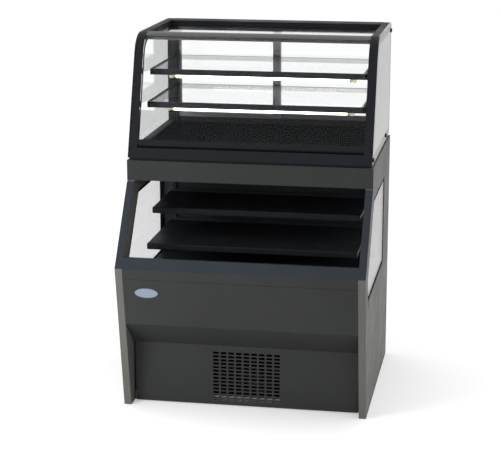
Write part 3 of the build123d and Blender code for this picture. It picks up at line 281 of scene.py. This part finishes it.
def makeDrawnMetal():
    # fine lines along one axis, as on rolled or drawn metal
    inputs = {
        "Color": (0.6, 0.6, 0.6, 1.0), "Streak": 0.12, "Roughness": 0.35, "Rub": 0.1,
        "Stretch": (1.0, 60.0, 60.0), "Scale": 12.0,
    }
    group, given, end = startGroup("drawnMetal", inputs, surfaceOutputs)
    lines = noiseAt(group, given["Scale"], detail=4.0, stretch=given["Stretch"])
    results = {
        "Color": shadeColour(group, given["Color"], given["Streak"], lines),
        "Roughness": shiftRough(group, given["Roughness"], given["Rub"], lines),
        "Height": lines,
    }
    return endGroup(group, end, results)


def makeGlassFilm():
    # faint smears of cleaning, and the slow wave of toughened glass
    inputs = {"Roughness": 0.01, "Smear": 0.03, "Scale": 5.0}
    group, given, end = startGroup("glassFilm", inputs, glossOutputs)
    smears = noiseAt(group, given["Scale"], detail=6.0, stretch=(1.0, 1.0, 0.35))
    smears = spread(group, smears, 0.0, 1.0, start=0.5, stop=0.75)
    shift = math2(group, "MULTIPLY", smears, given["Smear"])
    rough = math2(group, "ADD", given["Roughness"], shift, clamp=True)
    wave = noiseAt(group, scale=2.2, detail=1.0)
    return endGroup(group, end, {"Roughness": rough, "Height": wave})


def makeMouldGrain():
    # the small even pits of moulded plastic or rubber
    inputs = {
        "Color": (0.1, 0.1, 0.1, 1.0), "Cloud": 0.08, "Roughness": 0.5, "Rub": 0.06,
        "Grain Scale": 1400.0,
    }
    group, given, end = startGroup("mouldGrain", inputs, surfaceOutputs)
    place = addNode(group, "ShaderNodeTexCoord").outputs["Object"]
    pits = addNode(group, "ShaderNodeTexVoronoi", {"Vector": place, "Scale": given["Grain Scale"]})
    cloud = noiseAt(group, scale=20.0, detail=3.0)
    rubs = noiseAt(group, scale=60.0, detail=3.0)
    results = {
        "Color": shadeColour(group, given["Color"], given["Cloud"], cloud),
        "Roughness": shiftRough(group, given["Roughness"], given["Rub"], rubs),
        "Height": pits.outputs["Distance"],
    }
    return endGroup(group, end, results)


effects = {
    "skin": makePaintSkin(), "edge": makeEdgeRub(), "dust": makeDustFilm(),
    "drawn": makeDrawnMetal(), "film": makeGlassFilm(), "grain": makeMouldGrain(),
}


def placeEffect(tree, key, values):
    node = tree.nodes.new("ShaderNodeGroup")
    node.node_tree = effects[key]
    for name, value in values.items():
        node.inputs[name].default_value = value
    return node.outputs


# Materials, each with its own values

def startMaterial(name):
    material = bpy.data.materials.new(name)
    material.use_nodes = True
    tree = material.node_tree
    tree.nodes.clear()
    return material, tree, addNode(tree, "ShaderNodeBsdfPrincipled")


def mixColour(tree, mask, base, over):
    node = addNode(tree, "ShaderNodeMix", data_type="RGBA")
    tree.links.new(mask, node.inputs[0])
    for index, value in ((6, base), (7, over)):  # the mix node's two colour sockets
        if isinstance(value, bpy.types.NodeSocket):
            tree.links.new(value, node.inputs[index])
        else:
            node.inputs[index].default_value = (*value, 1.0)
    return node.outputs[2]


sharedLooks = {
    "skin": {
        "relief": 0.10, "depth": 0.0003, "edge": 0.0012, "metal": 0.0, "shine": 0.20, "dust": 0.05,
    },
    "drawn": {
        "relief": 0.12, "depth": 0.0002, "edge": 0.0012, "metal": 1.0, "shine": 0.5, "dust": 0.05,
    },
    "grain": {"relief": 0.15, "depth": 0.0002, "edge": 0.0008, "metal": 0.0, "shine": 0.5},
}
paintLooks = {
    "case_paint": {
        "color": (0.029, 0.030, 0.030), "rough": 0.50, "wear": 0.22,
        "wearColor": (0.16, 0.16, 0.16),
    },
    "end_paint": {
        "color": (0.118, 0.116, 0.108), "rough": 0.48, "wear": 0.22,
        "wearColor": (0.22, 0.22, 0.21),
    },
    "trim_paint": {
        "color": (0.023, 0.029, 0.037), "rough": 0.44, "wear": 0.30,
        "wearColor": (0.14, 0.15, 0.17),
    },
    "black_paint": {
        "color": (0.0120, 0.0132, 0.0160), "rough": 0.50, "wear": 0.25,
        "wearColor": (0.09, 0.09, 0.10), "shine": 0.12, "dust": 0.012,
    },
    "white_liner": {
        "color": (0.70, 0.71, 0.71), "rough": 0.35, "wear": 0.2, "wearColor": (0.5, 0.5, 0.5),
    },
    "motor_steel": {
        "color": (0.10, 0.10, 0.11), "rough": 0.45, "wear": 0.4, "wearColor": (0.3, 0.3, 0.3),
    },
    "deckBlack": {
        "color": (0.0035, 0.0045, 0.0055), "rough": 0.85, "wear": 0.15,
        "wearColor": (0.05, 0.05, 0.05), "shine": 0.0, "dust": 0.004, "relief": 0.03,
    },
    "can_paint": {
        "color": (0.012, 0.012, 0.013), "rough": 0.30, "wear": 0.35, "wearColor": (0.2, 0.2, 0.2),
    },
    "coilBlack": {
        "color": (0.004, 0.004, 0.0045), "rough": 0.70, "wear": 0.1,
        "wearColor": (0.03, 0.03, 0.03),
    },
}
metalLooks = {
    "zinc_steel": {"color": (0.52, 0.53, 0.54), "rough": 0.42},
    "screw_steel": {"color": (0.06, 0.06, 0.065), "rough": 0.35},
    "fin_metal": {"color": (0.62, 0.63, 0.64), "rough": 0.38},
    "fan_alloy": {"color": (0.60, 0.61, 0.62), "rough": 0.40},
    "badge_metal": {"color": (0.30, 0.36, 0.44), "rough": 0.46},
    "copper_tube": {"color": (0.72, 0.36, 0.22), "rough": 0.30},
    "door_alloy": {"color": (0.13, 0.13, 0.135), "rough": 0.38},
    "lampCap": {"color": (0.72, 0.70, 0.62), "rough": 0.36},
    "pinNickel": {"color": (0.66, 0.64, 0.58), "rough": 0.28},
}
mouldLooks = {
    "seal_rubber": {"color": (0.012, 0.012, 0.013), "rough": 0.85, "shine": 0.1},
    "comb_plastic": {"color": (0.03, 0.03, 0.03), "rough": 0.55},
    "lamp_white": {"color": (0.80, 0.80, 0.77), "rough": 0.35},
    "lampHolder": {"color": (0.78, 0.72, 0.50), "rough": 0.40},
    "fan_plastic": {"color": (0.03, 0.03, 0.035), "rough": 0.40},
    "pan_plastic": {"color": (0.20, 0.21, 0.22), "rough": 0.50},
    "black_plastic": {"color": (0.020, 0.020, 0.021), "rough": 0.45},
    "dial_white": {"color": (0.78, 0.78, 0.76), "rough": 0.35},
    "inkBlack": {"color": (0.015, 0.015, 0.016), "rough": 0.60},
    "inkWhite": {"color": (0.75, 0.75, 0.73), "rough": 0.50},
    "needleRed": {"color": (0.42, 0.03, 0.02), "rough": 0.40},
    "brushPile": {"color": (0.030, 0.030, 0.032), "rough": 0.95, "shine": 0.05, "relief": 0.6},
}
dustTone = (0.42, 0.41, 0.39)
finishes = {}


def solidMaterial(name, effect, look):
    material, tree, shader = startMaterial(name)
    coat = {"Color": (*look["color"], 1.0), "Roughness": look["rough"]}
    surface = placeEffect(tree, effect, coat)
    tint = surface["Color"]
    if "wear" in look:
        rub = placeEffect(tree, "edge", {"Amount": look["wear"], "Width": look["edge"]})
        tint = mixColour(tree, rub["Mask"], tint, look["wearColor"])
    if "dust" in look:
        film = placeEffect(tree, "dust", {"Amount": look["dust"]})
        tint = mixColour(tree, film["Mask"], tint, dustTone)
    tree.links.new(tint, shader.inputs["Base Color"])
    tree.links.new(surface["Roughness"], shader.inputs["Roughness"])
    bevel = {"Radius": look["edge"]}
    bump = {
        "Strength": look["relief"], "Distance": look["depth"], "Height": surface["Height"],
        "Normal": addNode(tree, "ShaderNodeBevel", bevel, samples=bevelSamples).outputs[0],
    }
    relief = addNode(tree, "ShaderNodeBump", bump)
    tree.links.new(relief.outputs[0], shader.inputs["Normal"])
    shader.inputs["Metallic"].default_value = look["metal"]
    shader.inputs["Specular IOR Level"].default_value = look["shine"]
    addNode(tree, "ShaderNodeOutputMaterial", {"Surface": shader.outputs[0]})
    return material


for effect, looks in (("skin", paintLooks), ("drawn", metalLooks), ("grain", mouldLooks)):
    for name, look in looks.items():
        finishes[name] = solidMaterial(name, effect, {**sharedLooks[effect], **look})

glassShared = {"rough": 0.0, "clear": 1.0, "metal": 0.0, "depth": 0.001}
glassLooks = {
    "clear_glass": {
        "color": (0.975, 0.985, 0.985), "smear": 0.008, "wave": 0.008,
        "shade": (0.90, 0.92, 0.91), "ior": 1.38,
    },
    "frontClear": {
        "color": (0.985, 0.99, 0.99), "smear": 0.006, "wave": 0.004,
        "shade": (0.92, 0.93, 0.93), "ior": 1.18,
    },
    "roofClear": {
        "color": (0.975, 0.985, 0.985), "smear": 0.008, "wave": 0.006,
        "shade": (0.90, 0.92, 0.91), "ior": 1.62,
    },
    "windowClear": {
        "color": (0.975, 0.975, 0.985), "smear": 0.008, "wave": 0.006,
        "shade": (0.88, 0.90, 0.90), "ior": 1.24,
    },
}


def glassMaterial(name, look):
    material, tree, shader = startMaterial(name)
    film = placeEffect(tree, "film", {"Roughness": look["rough"], "Smear": look["smear"]})
    tree.links.new(film["Roughness"], shader.inputs["Roughness"])
    bump = {"Strength": look["wave"], "Distance": look["depth"], "Height": film["Height"]}
    relief = addNode(tree, "ShaderNodeBump", bump)
    tree.links.new(relief.outputs[0], shader.inputs["Normal"])
    shader.inputs["Base Color"].default_value = (*look["color"], 1.0)
    shader.inputs["Metallic"].default_value = look["metal"]
    shader.inputs["Transmission Weight"].default_value = look["clear"]
    shader.inputs["IOR"].default_value = look["ior"]
    # lamps reach what stands behind the glass
    path = addNode(tree, "ShaderNodeLightPath").outputs["Is Shadow Ray"]
    passing = addNode(tree, "ShaderNodeBsdfTransparent", {"Color": (*look["shade"], 1.0)})
    parts = {0: path, 1: shader.outputs[0], 2: passing.outputs[0]}
    mixed = addNode(tree, "ShaderNodeMixShader", parts)
    addNode(tree, "ShaderNodeOutputMaterial", {"Surface": mixed.outputs[0]})
    return material


for name, look in glassLooks.items():
    finishes[name] = glassMaterial(name, {**glassShared, **look})

glowLook = {
    "color": (0.92, 0.92, 0.88), "rough": 0.3, "cloud": 0.02, "strength": 6.0,
    "glow": (1.0, 1.0, 0.99), "endGlow": (1.0, 0.90, 0.55), "endFrom": 0.24, "endTo": 0.36,
}


def glowMaterial(name, look):
    # the tube is warmer towards its ends
    material, tree, shader = startMaterial(name)
    skin = {"Color": (*look["color"], 1.0), "Roughness": look["rough"], "Cloud": look["cloud"]}
    surface = placeEffect(tree, "grain", skin)
    tree.links.new(surface["Color"], shader.inputs["Base Color"])
    tree.links.new(surface["Roughness"], shader.inputs["Roughness"])
    place = addNode(tree, "ShaderNodeTexCoord").outputs["Object"]
    along = addNode(tree, "ShaderNodeSeparateXYZ", {0: place}).outputs["X"]
    along = math2(tree, "ABSOLUTE", along, 0.0)
    ends = spread(tree, along, 0.0, 1.0, start=look["endFrom"], stop=look["endTo"])
    glow = mixColour(tree, ends, look["glow"], look["endGlow"])
    tree.links.new(glow, shader.inputs["Emission Color"])
    shader.inputs["Emission Strength"].default_value = look["strength"]
    addNode(tree, "ShaderNodeOutputMaterial", {"Surface": shader.outputs[0]})
    return material


finishes["lampGlow"] = glowMaterial("lampGlow", glowLook)

ownFinish = {
    "upper_deck": "deckBlack", "front_glass": "frontClear", "window_panes": "windowClear",
    "roof_glass": "roofClear",
}
for name, item in nodes.items():
    item.data.materials.clear()
    item.data.materials.append(finishes[ownFinish.get(name, slotOf[name])])
print("stage: finishes on", len(nodes), "nodes")

# Mesh helpers for the drawn pieces

sharpAngle = 32


def addBlock(work, low, high, edge=0.0):
    middle = [(a + b) / 2 for a, b in zip(low, high)]
    size = [b - a for a, b in zip(low, high)]
    place = Matrix.LocRotScale(middle, None, size)
    made = bmesh.ops.create_cube(work, size=1.0, matrix=place)
    if edge > 0:
        lines = dict.fromkeys(line for corner in made["verts"] for line in corner.link_edges)
        settings = {"segments": 2, "affect": "EDGES", "clamp_overlap": True}
        bmesh.ops.bevel(work, geom=list(lines), offset=edge, **settings)


def addTurned(work, profile, place, sides):
    # profile holds (radius, height) pairs from one end to the other
    rings = []
    for radius, height in profile:
        count = sides if radius > 0 else 1
        turns = [2 * math.pi * step / sides for step in range(count)]
        ring = [Vector((radius * math.cos(a), radius * math.sin(a), height)) for a in turns]
        rings.append([work.verts.new(place @ point) for point in ring])
    for lower, upper in zip(rings, rings[1:]):
        for step in range(sides):
            after = (step + 1) % sides
            corners = [lower[step % len(lower)], lower[after % len(lower)]]
            corners += [upper[after % len(upper)], upper[step % len(upper)]]
            work.faces.new(list(dict.fromkeys(corners)))


def addRod(work, start, end, radius, sides, edge=0.0):
    start, end = Vector(start), Vector(end)
    along = end - start
    place = Matrix.Translation(start) @ along.to_track_quat("Z", "Y").to_matrix().to_4x4()
    long = along.length
    profile = [(0, 0), (radius - edge, 0), (radius, edge)]
    profile += [(radius, long - edge), (radius - edge, long), (0, long)]
    addTurned(work, list(dict.fromkeys(profile)), place, sides)  # no edge leaves equal pairs


def addBend(work, start, end, bulge, radius, sides=14, steps=12):
    # half ring of tube between two points, bulging along one axis
    start, end, bulge = Vector(start), Vector(end), Vector(bulge)
    middle, reach = (start + end) / 2, (start - end) / 2
    across = reach.cross(bulge).normalized()
    rings = []
    for step in range(steps + 1):
        angle = math.pi * step / steps
        centre = middle + reach * math.cos(angle) + bulge * math.sin(angle)
        outward = (centre - middle).normalized()
        turns = [2 * math.pi * side / sides for side in range(sides)]
        ring = [centre + radius * (outward * math.cos(a) + across * math.sin(a)) for a in turns]
        rings.append([work.verts.new(point) for point in ring])
    for lower, upper in zip(rings, rings[1:]):
        for side in range(sides):
            after = (side + 1) % sides
            work.faces.new((lower[side], lower[after], upper[after], upper[side]))
    work.faces.new(rings[0])
    work.faces.new(rings[-1])


def endPiece(name, work, finish, body, stands=()):
    bmesh.ops.recalc_face_normals(work, faces=work.faces)
    mesh = bpy.data.meshes.new(name)
    work.to_mesh(mesh)
    work.free()
    mesh.materials.append(finishes[finish])
    for face in mesh.polygons:
        face.use_smooth = True
    mesh.set_sharp_from_angle(angle=math.radians(sharpAngle))
    piece = bpy.data.objects.new(name, mesh)
    bpy.context.scene.collection.objects.link(piece)
    if stands:
        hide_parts(*stands)
    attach(piece, body)


# Tube lamps

lampSet = {
    "sheet": 0.0008, "sheetEdge": 0.0002, "channelInset": 0.002,
    "holder": 0.014, "holderEdge": 0.0025, "width": 0.018, "foot": 0.001, "drop": 0.010,
    "tube": 0.0078, "sides": 28, "collar": 0.003, "collarWall": 0.0008,
    "cap": 0.010, "capEdge": 0.0008, "glassWall": 0.0004,
}
lampPlaces = {
    "canopy_lamp": {"body": "cabinet", "channel": 0.012, "inset": 0.0},
    "upper_top_lamp": {"body": "upper_top_shelf", "channel": 0.006, "inset": 0.050},
    "upper_low_lamp": {"body": "upper_low_shelf", "channel": 0.006, "inset": 0.050},
}


def makeLamp(node, place):
    low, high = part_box(node)
    body, sheet, edge = place["body"], lampSet["sheet"], lampSet["sheetEdge"]
    holder, collar, cap = lampSet["holder"], lampSet["collar"], lampSet["cap"]
    radius, sides = lampSet["tube"], lampSet["sides"]
    middleY = (low[1] + high[1]) / 2
    across = lampSet["width"] / 2
    half = high[0] - place["inset"]
    under = high[2] - place["channel"]
    tubeZ = under - lampSet["drop"]

    def onAxis(x):
        return (x, middleY, tubeZ)

    front, back = low[1], high[1]
    if place["inset"] == 0:  # the canopy lamp's channel is narrower than its holders
        wide = across - lampSet["channelInset"]
        front, back = middleY - wide, middleY + wide
    channel = bmesh.new()
    addBlock(channel, (low[0], front, under), (high[0], back, under + sheet), edge)
    for near, far in ((front, front + sheet), (back - sheet, back)):
        addBlock(channel, (low[0], near, under + sheet), (high[0], far, high[2]), edge)
    endPiece(node + "Channel", channel, "lamp_white", body, (node,))

    holders, caps, tube = bmesh.new(), bmesh.new(), bmesh.new()
    foot = tubeZ - radius - lampSet["foot"]
    for side in (-1, 1):
        inner = side * (half - holder)
        left, right = sorted((side * half, inner))
        near, far = (left, middleY - across, foot), (right, middleY + across, under)
        addBlock(holders, near, far, lampSet["holderEdge"])
        capStart = inner - side * collar
        capEnd = capStart - side * cap
        collarRadius = radius + lampSet["collarWall"]
        addRod(holders, onAxis(inner), onAxis(capStart), collarRadius, sides)
        addRod(caps, onAxis(capStart), onAxis(capEnd), radius, sides, lampSet["capEdge"])
    glassEnd = half - holder - collar - cap
    glassRadius = radius - lampSet["glassWall"]
    addRod(tube, onAxis(-glassEnd), onAxis(glassEnd), glassRadius, sides)
    endPiece(node + "Holders", holders, "lampHolder", body, (node,))
    endPiece(node + "Caps", caps, "lampCap", body, (node,))
    endPiece(node + "Tube", tube, "lampGlow", body, (node,))


for node, place in lampPlaces.items():
    makeLamp(node, place)
print("stage: lamps")

# Fin packs with their tubes

finShared = {
    "plate": 0.002, "plateEdge": 0.0004, "out": 0.012, "deep": 0.100, "gapY": 0.0006,
    "gapZ": 0.001, "sides": 14,
}
finSets = {
    "condenser_coil": {
        "finish": "coilBlack", "pitch": 0.0028, "fin": 0.0005, "tube": 0.0042, "rows": 6,
        "rise": 0.030, "first": 0.020, "columns": (0.014, 0.044), "margin": 0.0,
    },
    "cooling_coil": {
        "finish": "fin_metal", "pitch": 0.0065, "fin": 0.0006, "tube": 0.0055, "rows": 5,
        "rise": 0.044, "first": 0.022, "columns": (0.025, 0.075), "margin": 0.010,
    },
}


def makeFinPack(node, look, body):
    low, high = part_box(node)
    out, plate, tube = finShared["out"], finShared["plate"], look["tube"]
    gapY, gapZ, sides = finShared["gapY"], finShared["gapZ"], finShared["sides"]
    left, right = low[0] + out, high[0] - out
    bottom, top = low[2] + look["margin"], high[2] - look["margin"]
    backY = min(high[1], low[1] + finShared["deep"])
    fins, tubes = bmesh.new(), bmesh.new()
    for step in range(int((right - left - 2 * plate) / look["pitch"])):
        x = left + plate + (step + 0.5) * look["pitch"]
        near = (x, low[1] + gapY, bottom + gapZ)
        addBlock(fins, near, (x + look["fin"], backY - gapY, top - gapZ))
    for x in (left, right):
        near, far = (x - plate / 2, low[1], low[2]), (x + plate / 2, high[1], high[2])
        addBlock(fins, near, far, finShared["plateEdge"])
    first, second = (low[1] + column for column in look["columns"])
    for row in range(look["rows"]):
        z = bottom + look["first"] + row * look["rise"]
        for y in (first, second):
            addRod(tubes, (left - plate, y, z), (right + plate, y, z), tube, sides)
        for x, way in ((left - plate / 2, -1), (right + plate / 2, 1)):
            bulge = (way * (out - plate / 2 - tube), 0, 0)
            addBend(tubes, (x, first, z), (x, second, z), bulge, tube)
    endPiece(node + "Fins", fins, look["finish"], body, (node,))
    endPiece(node + "Tubes", tubes, "copper_tube", body, (node,))


for node, look in finSets.items():
    makeFinPack(node, look, "cabinet")
print("stage: fin packs")

# Badge: a plain oval with a raised rim

badgeSet = {
    "lean": 104.0 / 560.0,  # of the front panel, forward over up
    "thick": 0.002, "sides": 72,
    "rim": (  # distance in from the widest point, and height
        (0.0006, 0.0), (0.0002, 0.0007), (0.0009, 0.0017), (0.0018, 0.0020), (0.0027, 0.0019),
        (0.0035, 0.0012),
    ),
    "face": ((0.5, 0.0013), (0.0, 0.0014)),  # share of the radius, and height
}


def makeBadge():
    low, high = (Vector(corner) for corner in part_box("badge_plate"))
    outward = Vector((0, -1, -badgeSet["lean"])).normalized()
    upward = Vector((0, -badgeSet["lean"], 1)).normalized()
    turn = Matrix((Vector((1, 0, 0)), upward, outward)).transposed().to_4x4()
    long, tall = (high[0] - low[0]) / 2, (high[2] - low[2]) / 2
    squeeze = Matrix.Diagonal((1, tall / long, 1, 1))
    centre = (low + high) / 2 - outward * badgeSet["thick"] / 2
    profile = [(0, 0)]
    profile += [(long - inset, height) for inset, height in badgeSet["rim"]]
    profile += [(long * share, height) for share, height in badgeSet["face"]]
    plate = bmesh.new()
    addTurned(plate, profile, Matrix.Translation(centre) @ turn @ squeeze, badgeSet["sides"])
    endPiece("badgeOval", plate, "badge_metal", "cabinet", ("badge_plate",))


makeBadge()
print("stage: badge")

# Controls at the back, each centre as x and z

controlSet = {
    "faceY": 0.4315, "panelY": 0.4265, "marks": 11, "start": -225.0, "span": 270.0,
    "dial": (0.230, 0.283), "knob": (0.130, 0.283), "switch": (0.330, 0.283),
}
dialSet = {
    "radius": 0.0226, "hole": 0.0026, "sheet": 0.0003, "sides": 56,
    "markEnd": 0.0205, "marks": ((0.0165, 0.0007), (0.0182, 0.0004)),  # start and width
    "reading": 62.0, "needle": (-0.005, 0.0158), "needleWidth": 0.0009, "needleRise": 0.0007,
    "hub": 0.0026, "hubFrom": 0.0004, "hubTo": 0.0021, "hubEdge": 0.0004, "hubSides": 24,
}
knobSet = {
    "markStart": 0.0185, "markEnd": 0.0215, "markGrow": 0.00025, "markWidth": 0.0008,
    "ribs": 24, "rib": (0.0144, 0.0155), "ribWidth": 0.0013, "ribRise": 0.0012,
    "ribLength": 0.0098,
}
switchSet = {
    "rise": 0.0033, "thick": 0.0004, "line": (0.0060, 0.0100), "lineHalf": 0.0005,
    "ringDrop": 0.0078, "ring": (0.0016, 0.0024), "ringSides": 28,
}
inletSet = {
    "pins": ((-0.012, -0.003), (0.0, 0.005), (0.012, -0.003)), "half": (0.0012, 0.0032),
    "root": 0.0230, "tip": 0.0055, "edge": 0.0004,
}


def panelPlace(centre, y, angle, axis):
    turn = Matrix.Rotation(math.radians(angle), 4, axis)
    return Matrix.Translation((centre[0], y, centre[1])) @ turn


def addTick(work, centre, y, angle, reach, width, thick=0.0003):
    # drawn along X and turned to its angle, with its thickness away from the panel
    start = len(work.verts)
    addBlock(work, (reach[0], 0, -width / 2), (reach[1], thick, width / 2))
    work.verts.ensure_lookup_table()
    place = panelPlace(centre, y, angle, "Y")
    for corner in work.verts[start:]:
        corner.co = place @ corner.co


def makeDialFace():
    radius, hole, sheet = dialSet["radius"], dialSet["hole"], dialSet["sheet"]
    profile = [(hole, 0), (hole, sheet), (radius - sheet, sheet), (radius, 0)]
    face = bmesh.new()
    place = panelPlace(controlSet["dial"], controlSet["faceY"], -90, "X")
    addTurned(face, profile, place, dialSet["sides"])
    endPiece("dialFace", face, "dial_white", "cabinet")


def makeScaleMarks():
    start, span = controlSet["start"], controlSet["span"]
    faceY = controlSet["faceY"] + dialSet["sheet"]
    last = controlSet["marks"] - 1
    ticks = bmesh.new()
    for index in range(2 * last + 1):  # a short mark between each two long ones
        inner, width = dialSet["marks"][index % 2]
        angle = start + span * index / (2 * last)
        addTick(ticks, controlSet["dial"], faceY, angle, (inner, dialSet["markEnd"]), width)
    for index in range(last + 1):
        reach = (knobSet["markStart"], knobSet["markEnd"] + knobSet["markGrow"] * index)
        angle, panelY = start + span * index / last, controlSet["panelY"]
        addTick(ticks, controlSet["knob"], panelY, angle, reach, knobSet["markWidth"])
    endPiece("scaleMarks", ticks, "inkBlack", "cabinet")


def makeNeedle():
    dial, faceY = controlSet["dial"], controlSet["faceY"]
    y, angle = faceY + dialSet["needleRise"], -dialSet["reading"]
    needle = bmesh.new()
    addTick(needle, dial, y, angle, dialSet["needle"], dialSet["needleWidth"])
    root, tip = ((dial[0], faceY + dialSet[key], dial[1]) for key in ("hubFrom", "hubTo"))
    addRod(needle, root, tip, dialSet["hub"], dialSet["hubSides"], dialSet["hubEdge"])
    endPiece("dialNeedle", needle, "needleRed", "cabinet")


def makeKnobRibs():
    y, count = controlSet["panelY"] + knobSet["ribRise"], knobSet["ribs"]
    rib, width, length = knobSet["rib"], knobSet["ribWidth"], knobSet["ribLength"]
    ribs = bmesh.new()
    for index in range(count):
        addTick(ribs, controlSet["knob"], y, 360.0 * (index + 0.5) / count, rib, width, length)
    endPiece("knobRibs", ribs, "black_plastic", "thermostat_knob")


def makeSwitchMarks():
    x, z = controlSet["switch"]
    top, thick = controlSet["panelY"] + switchSet["rise"], switchSet["thick"]
    half, (start, stop) = switchSet["lineHalf"], switchSet["line"]
    marks = bmesh.new()
    addBlock(marks, (x - half, top, z + start), (x + half, top + thick, z + stop))
    hole, rim = switchSet["ring"]
    profile = [(hole, 0), (hole, thick), (rim, thick), (rim, 0)]
    place = panelPlace((x, z - switchSet["ringDrop"]), top, -90, "X")
    addTurned(marks, profile, place, switchSet["ringSides"])
    endPiece("switchMarks", marks, "inkWhite", "light_switch")


def makeInletPins():
    low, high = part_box("power_inlet")
    root, tip = high[1] - inletSet["root"], high[1] - inletSet["tip"]
    halfX, halfZ = inletSet["half"]
    pins = bmesh.new()
    for acrossX, upZ in inletSet["pins"]:
        x, z = (low[0] + high[0]) / 2 + acrossX, (low[2] + high[2]) / 2 + upZ
        near, far = (x - halfX, root, z - halfZ), (x + halfX, tip, z + halfZ)
        addBlock(pins, near, far, inletSet["edge"])
    endPiece("inletPins", pins, "pinNickel", "cabinet")


makeDialFace()
makeScaleMarks()
makeNeedle()
makeKnobRibs()
makeSwitchMarks()
makeInletPins()
print("stage: controls")

# Brush seals on the doors' meeting stiles, in the gap between the two doors

brushSet = {
    "across": 0.0028, "inset": 0.004, "pile": 0.0018, "lower": 0.004, "upper": 0.016,
    "edge": 0.0004,
}


def makeBrush(node, body, side):
    low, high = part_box(node)
    stile, face = (high[0], high[1]) if side > 0 else (low[0], low[1])
    inset = brushSet["inset"]
    xs = sorted((stile - side * inset, stile - side * (inset + brushSet["across"])))
    ys = sorted((face, face + side * brushSet["pile"]))
    near = (xs[0], ys[0], low[2] + brushSet["lower"])
    far = (xs[1], ys[1], high[2] - brushSet["upper"])
    brush = bmesh.new()
    addBlock(brush, near, far, brushSet["edge"])
    endPiece(body + "Brush", brush, "brushPile", body)


makeBrush("left_door_frame", "left_door", 1)
makeBrush("right_door_frame", "right_door", -1)
print("stage: doors")

print("stage: done")
